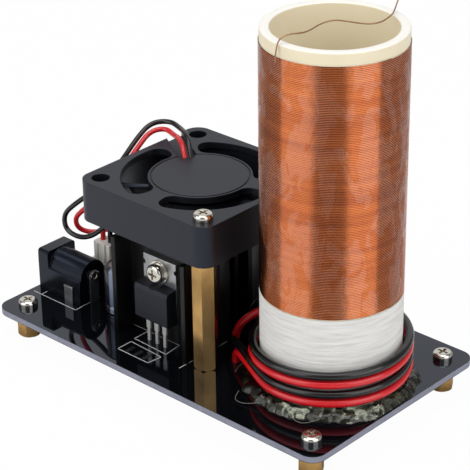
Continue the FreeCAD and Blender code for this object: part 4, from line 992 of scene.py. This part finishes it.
    def glue(self) -> None:
        """A lumpy bank of clear glue round the foot of the coil."""
        columns, rows = 240, 12
        fullness, rise_share, roundness = 0.82, 1.6, 0.7
        inner = self.radius + self.gap
        bm = bmesh.new()
        rings = []
        for k in range(rows + 1):
            share = k / rows
            slope = math.sin(math.pi / 2 * min(1.0, share * rise_share)) ** roundness
            ring = []
            for j in range(columns):
                a = math.tau * j / columns
                outer = self.spread(a)
                r = outer + (inner - outer) * share
                lump = self.glue_lump * noise.noise((r * math.cos(a) * 0.55, r * math.sin(a) * 0.55, 2.0))
                z = self.foot + self.glue_height * (fullness + lump) * slope
                z = min(z, self.foot + self.glue_height)
                ring.append(bm.verts.new(self.spot(r, a, z)))
            rings.append(ring)
        low = self.foot + self.glue_lift
        for v in rings[0]:
            v.co.z = low * MM
        rings.append([bm.verts.new(self.spot(inner, math.tau * j / columns, low)) for j in range(columns)])
        join_rings(bm, rings)
        self.add("glue_bank", bm, [GLUE], ["glue_ring"], smooth=70)

    def fine_wire(self) -> None:
        """The thin wire that leaves the winding over the tube's open end."""
        route = [
            (28.9, -16.4, 79.6), (28.9, -16.4, 83.6), (29.6, -14.1, 85.1), (31.1, -10.6, 84.7),
            (30.3, -7.1, 84.2), (30.0, -3.7, 84.5), (31.2, -0.8, 84.8), (34.0, 0.9, 84.5),
            (36.9, 2.9, 84.1), (38.0, 5.7, 84.0), (37.3, 8.7, 83.9), (36.5, 11.5, 83.8),
            (35.2, 13.9, 84.1), (34.8, 15.4, 85.6),
        ]
        points = [(x, y, z + self.foot) for x, y, z in route]
        wire = self.line("fine_wire_look", points, self.fine_radius, FINE_WIRE, ["fine_wire"], 12)


@dataclass
class PrimaryWires(Assembly):
    """The red and the black wire, each twice round the foot of the coil."""

    x: float = 30.6
    radius: float = 17.37
    wire: float = 0.95
    foot: float = 7.6
    first: float = 245.0
    step: float = 15.0
    red_heights: tuple = (3.4, 3.7, 4.8, 6.05, 7.55, 8.4, 9.35, 10.3)
    black_heights: tuple = (5.4, 5.85, 6.95, 8.15, 9.6, 10.45, 11.4, 12.4)
    red_start: tuple = ((10.4, -9.2, 0.0), (10.4, -9.2, 1.9), (11.8, -9.8, 3.2), (15.6, -11.6, 3.4))
    black_start: tuple = ((7.4, -7.8, 0.0), (7.4, -7.8, 2.9), (8.9, -8.5, 5.2), (13.6, -10.8, 5.4))
    red_end: tuple = (
        (12.3, 2.9, 10.1), (9.4, -1.1, 8.9), (7.0, -3.7, 6.4), (5.9, -4.7, 3.0), (5.9, -4.7, 0.0),
    )
    black_end: tuple = (
        (12.2, 3.5, 12.2), (8.6, 1.3, 11.0), (6.4, 0.9, 7.6), (6.0, 1.3, 3.8), (6.0, 1.3, 0.0),
    )

    def build(self) -> None:
        """Builds both wires."""
        self.wind("primary_red", self.red_start, self.red_heights, self.red_end, RED_PVC, "primary_wire_red")
        self.wind(
            "primary_black",
            self.black_start,
            self.black_heights,
            self.black_end,
            BLACK_PVC,
            "primary_wire_black",
        )

    def height(self, heights: Sequence[float], degrees: float) -> float:
        """Height of a turn at one bearing, read between the quarter turns with a smooth slope."""
        place = min(max((degrees - self.first) / 90.0, 0.0), len(heights) - 1.0)
        k = min(int(place), len(heights) - 2)
        t = place - k
        slope = [heights[min(j + 1, len(heights) - 1)] - heights[max(j - 1, 0)] for j in (k, k + 1)]
        a, b = slope[0] / 2, slope[1] / 2
        p, q = heights[k], heights[k + 1]
        from_here = (2 * t**3 - 3 * t**2 + 1) * p + (t**3 - 2 * t**2 + t) * a
        return from_here + (3 * t**2 - 2 * t**3) * q + (t**3 - t**2) * b

    def wind(
        self,
        name: str,
        start: Sequence[Point],
        heights: Sequence[float],
        end: Sequence[Point],
        finish: Finish,
        node: str,
    ) -> None:
        """Builds one wire: up from the board, twice round the tube and back down."""
        points = [(x, y, z + self.foot) for x, y, z in start]
        last = self.first + 90.0 * (len(heights) - 1)
        reach = self.radius / math.cos(math.radians(self.step / 2))
        count = int((last - self.first) / self.step)
        for k in range(count):
            degrees = self.first + self.step * (k + 0.5)
            a = math.radians(degrees)
            z = self.foot + self.height(heights, degrees)
            points.append((self.x + reach * math.cos(a), reach * math.sin(a), z))
        points += [(x, y, z + self.foot) for x, y, z in end]
        self.line(name, points, self.wire, finish, [node], 10)


@dataclass
class FanWires(Assembly):
    """The fan's red and black wire, from its circuit over the frame and down to the plug."""

    wire: float = 0.62
    foot: float = 7.6
    red: tuple = (
        (-17.71, 5.0, 35.25), (-19.5, 6.1, 38.4), (-22.7, 8.1, 39.5), (-26.6, 10.3, 38.4),
        (-30.4, 11.2, 38.9), (-32.6, 8.2, 38.4), (-32.5, 4.2, 36.0), (-32.6, -0.2, 32.4),
        (-34.2, -3.8, 27.8), (-37.4, -5.6, 24.0), (-41.6, -5.9, 20.2), (-45.2, -5.9, 16.6),
        (-45.0, -4.9, 13.2), (-42.0, -2.1, 12.2), (-38.4, 0.7, 14.0), (-36.4, 2.3, 17.6),
        (-37.2, 1.5, 21.2), (-38.6, -1.3, 21.2), (-38.75, -2.8, 17.6), (-38.75, -2.8, 11.9),
    )
    black: tuple = (
        (-16.94, 6.29, 35.25), (-18.75, 7.38, 38.6), (-21.9, 9.5, 40.4), (-26.0, 11.8, 39.9),
        (-30.4, 12.9, 40.2), (-34.0, 9.9, 39.7), (-34.2, 5.2, 37.0), (-34.3, 0.6, 33.2),
        (-35.9, -3.2, 28.9), (-39.0, -5.8, 25.2), (-43.4, -7.4, 21.4), (-47.0, -7.7, 17.7),
        (-46.6, -7.7, 13.7), (-42.2, -7.5, 12.9), (-37.9, -7.1, 14.6), (-34.6, -6.1, 17.8),
        (-33.9, -3.9, 19.4), (-36.0, -2.8, 18.0), (-36.25, -2.8, 15.0), (-36.25, -2.8, 11.9),
    )
    red_length: float = 0.083
    black_length: float = 0.0832

    def build(self) -> None:
        """Builds both wires."""
        self.run("fan_lead_red", self.red, self.red_length, RED_PVC, "fan_wire_red")
        self.run("fan_lead_black", self.black, self.black_length, BLACK_PVC, "fan_wire_black")

    def run(
        self, name: str, route: Sequence[Point], length: float, finish: Finish, node: str
    ) -> None:
        """One fan wire along its route."""
        points = [(x, y, z + self.foot) for x, y, z in route]
        piece = self.line(name, points, self.wire, finish, [node], 12)


@dataclass
class Studio:
    """Camera, lamps, floor and surroundings. None of it belongs to the object."""

    target: Point = (-5.465, 8.1, 27.6)
    distance: float = 448.395
    azimuth: float = 42.902
    elevation: float = 27.021
    roll: float = -0.757
    lens: float = 147.67
    sensor: float = 36.0
    size: int = 470
    mirrored_level: float = 0.28
    floor_glow: float = 0.97
    floor_grey: float = 0.8
    floor_half: float = 3.0

    def build(self) -> None:
        """Sets up everything round the object."""
        self.camera()
        self.lamps()
        self.floor()
        self.world()
        self.render()

    def camera(self) -> None:
        """The camera, as fitted to the reference view."""
        a, e, r = math.radians(self.azimuth), math.radians(self.elevation), math.radians(self.roll)
        back = Vector((math.sin(a) * math.cos(e), -math.cos(a) * math.cos(e), math.sin(e)))
        right = Vector((math.cos(a), math.sin(a), 0.0))
        up = back.cross(right)
        right, up = right * math.cos(r) + up * math.sin(r), up * math.cos(r) - right * math.sin(r)
        data = bpy.data.cameras.new("view")
        data.lens, data.sensor_width = self.lens, self.sensor
        data.clip_start, data.clip_end = 0.01, 20.0
        data.dof.use_dof = False
        camera = bpy.data.objects.new("view", data)
        place = (Vector(self.target) + back * self.distance) * MM
        camera.matrix_world = Matrix((
            (right.x, up.x, back.x, place.x),
            (right.y, up.y, back.y, place.y),
            (right.z, up.z, back.z, place.z),
            (0, 0, 0, 1),
        ))
        bpy.context.scene.collection.objects.link(camera)
        bpy.context.scene.camera = camera

    def lamp(
        self,
        name: str,
        azimuth: float,
        elevation: float,
        distance: float,
        width: float,
        height: float,
        level: float,
    ) -> None:
        """One soft box that faces the object.

        Args:
            name: The lamp's name.
            azimuth: Bearing in degrees, 0 from the board's front long side and 90 from its right end.
            elevation: Degrees above the floor.
            distance: Metres from the object.
            width: Width of the soft box in metres.
            height: Height of the soft box in metres.
            level: Brightness of its face, where a white wall in full light is 1.
        """
        data = bpy.data.lights.new(name, "AREA")
        data.shape = "RECTANGLE"
        data.size, data.size_y, data.energy = width, height, math.pi * width * height * level
        lamp = bpy.data.objects.new(name, data)
        a, e = math.radians(azimuth), math.radians(elevation)
        way = Vector((math.sin(a) * math.cos(e), -math.cos(a) * math.cos(e), math.sin(e)))
        lamp.location = Vector((0.0, 0.0, 0.05)) + way * distance
        lamp.rotation_euler = way.to_track_quat("Z", "Y").to_euler()
        lamp.visible_camera = False
        bpy.context.scene.collection.objects.link(lamp)

    def lamps(self) -> None:
        """Two side boxes, which give the coil its two bright bands, one overhead and a pale wall behind."""
        self.lamp("left_box", -18.0, 26.0, 1.0, 0.9, 0.9, 1.75)
        self.lamp("right_box", 87.0, 26.0, 1.0, 0.8, 0.9, 1.95)
        self.lamp("top_box", 20.0, 84.0, 0.9, 0.8, 0.8, 2.3)
        self.lamp("back_wall", 222.9, 28.0, 1.3, 2.0, 0.9, 0.5)

    def floor(self) -> None:
        """A pale floor that keeps a faint shadow."""
        bm = bmesh.new()
        bmesh.ops.create_grid(bm, x_segments=1, y_segments=1, size=self.floor_half)
        mesh = bpy.data.meshes.new("floor")
        bm.to_mesh(mesh)
        bm.free()
        material = bpy.data.materials.new("floor_paper")
        material.use_nodes = True
        tree = material.node_tree
        tree.nodes.clear()
        matt = add_node(tree, "ShaderNodeBsdfDiffuse", {"Color": grey(self.floor_grey)}).outputs["BSDF"]
        glow = add_node(tree, "ShaderNodeEmission", {"Color": grey(1.0), "Strength": 1.0}).outputs["Emission"]
        seen = self.seen(tree)
        pair = {0: seen, 1: self.floor_glow}
        part = add_node(tree, "ShaderNodeMath", pair, operation="MULTIPLY").outputs["Value"]
        mixed = add_node(tree, "ShaderNodeMixShader", {"Fac": part, 1: matt, 2: glow}).outputs["Shader"]
        add_node(tree, "ShaderNodeOutputMaterial", {"Surface": mixed})
        mesh.materials.append(material)
        floor = bpy.data.objects.new("floor", mesh)
        bpy.context.scene.collection.objects.link(floor)

    def seen(self, tree: bpy.types.NodeTree) -> bpy.types.NodeSocket:
        """One where a ray comes from the camera, else nothing."""
        return add_node(tree, "ShaderNodeLightPath").outputs["Is Camera Ray"]

    def world(self) -> None:
        """White behind the object, and softer surroundings in what it mirrors."""
        world = bpy.data.worlds.new("surroundings")
        world.use_nodes = True
        tree = world.node_tree
        tree.nodes.clear()
        shaders = {"Fac": self.seen(tree)}
        for number, strength in ((1, self.mirrored_level), (2, 1.0)):
            inputs = {"Color": grey(1.0), "Strength": strength}
            shaders[number] = add_node(tree, "ShaderNodeBackground", inputs).outputs["Background"]
        mixed = add_node(tree, "ShaderNodeMixShader", shaders).outputs["Shader"]
        add_node(tree, "ShaderNodeOutputWorld", {"Surface": mixed})
        bpy.context.scene.world = world

    def render(self) -> None:
        """Picture size and plain view settings."""
        scene = bpy.context.scene
        scene.render.engine = "CYCLES"
        scene.cycles.samples = 192
        scene.cycles.use_denoising = True
        scene.render.resolution_x = self.size
        scene.render.resolution_y = self.size
        scene.render.resolution_percentage = 100
        scene.view_settings.view_transform = "Standard"


def main() -> None:
    """Builds the studio and every sub-assembly."""
    logging.basicConfig(level=logging.INFO, format="%(message)s")
    Studio().build()
    makers = (CircuitBoard, CoolingFan, PowerStage, PowerInlet, Coil, PrimaryWires, FanWires)
    for assembly in (maker() for maker in makers):
        log.info("building %s", type(assembly).__name__)
        assembly.build()


if __name__ == "__main__":
    main()
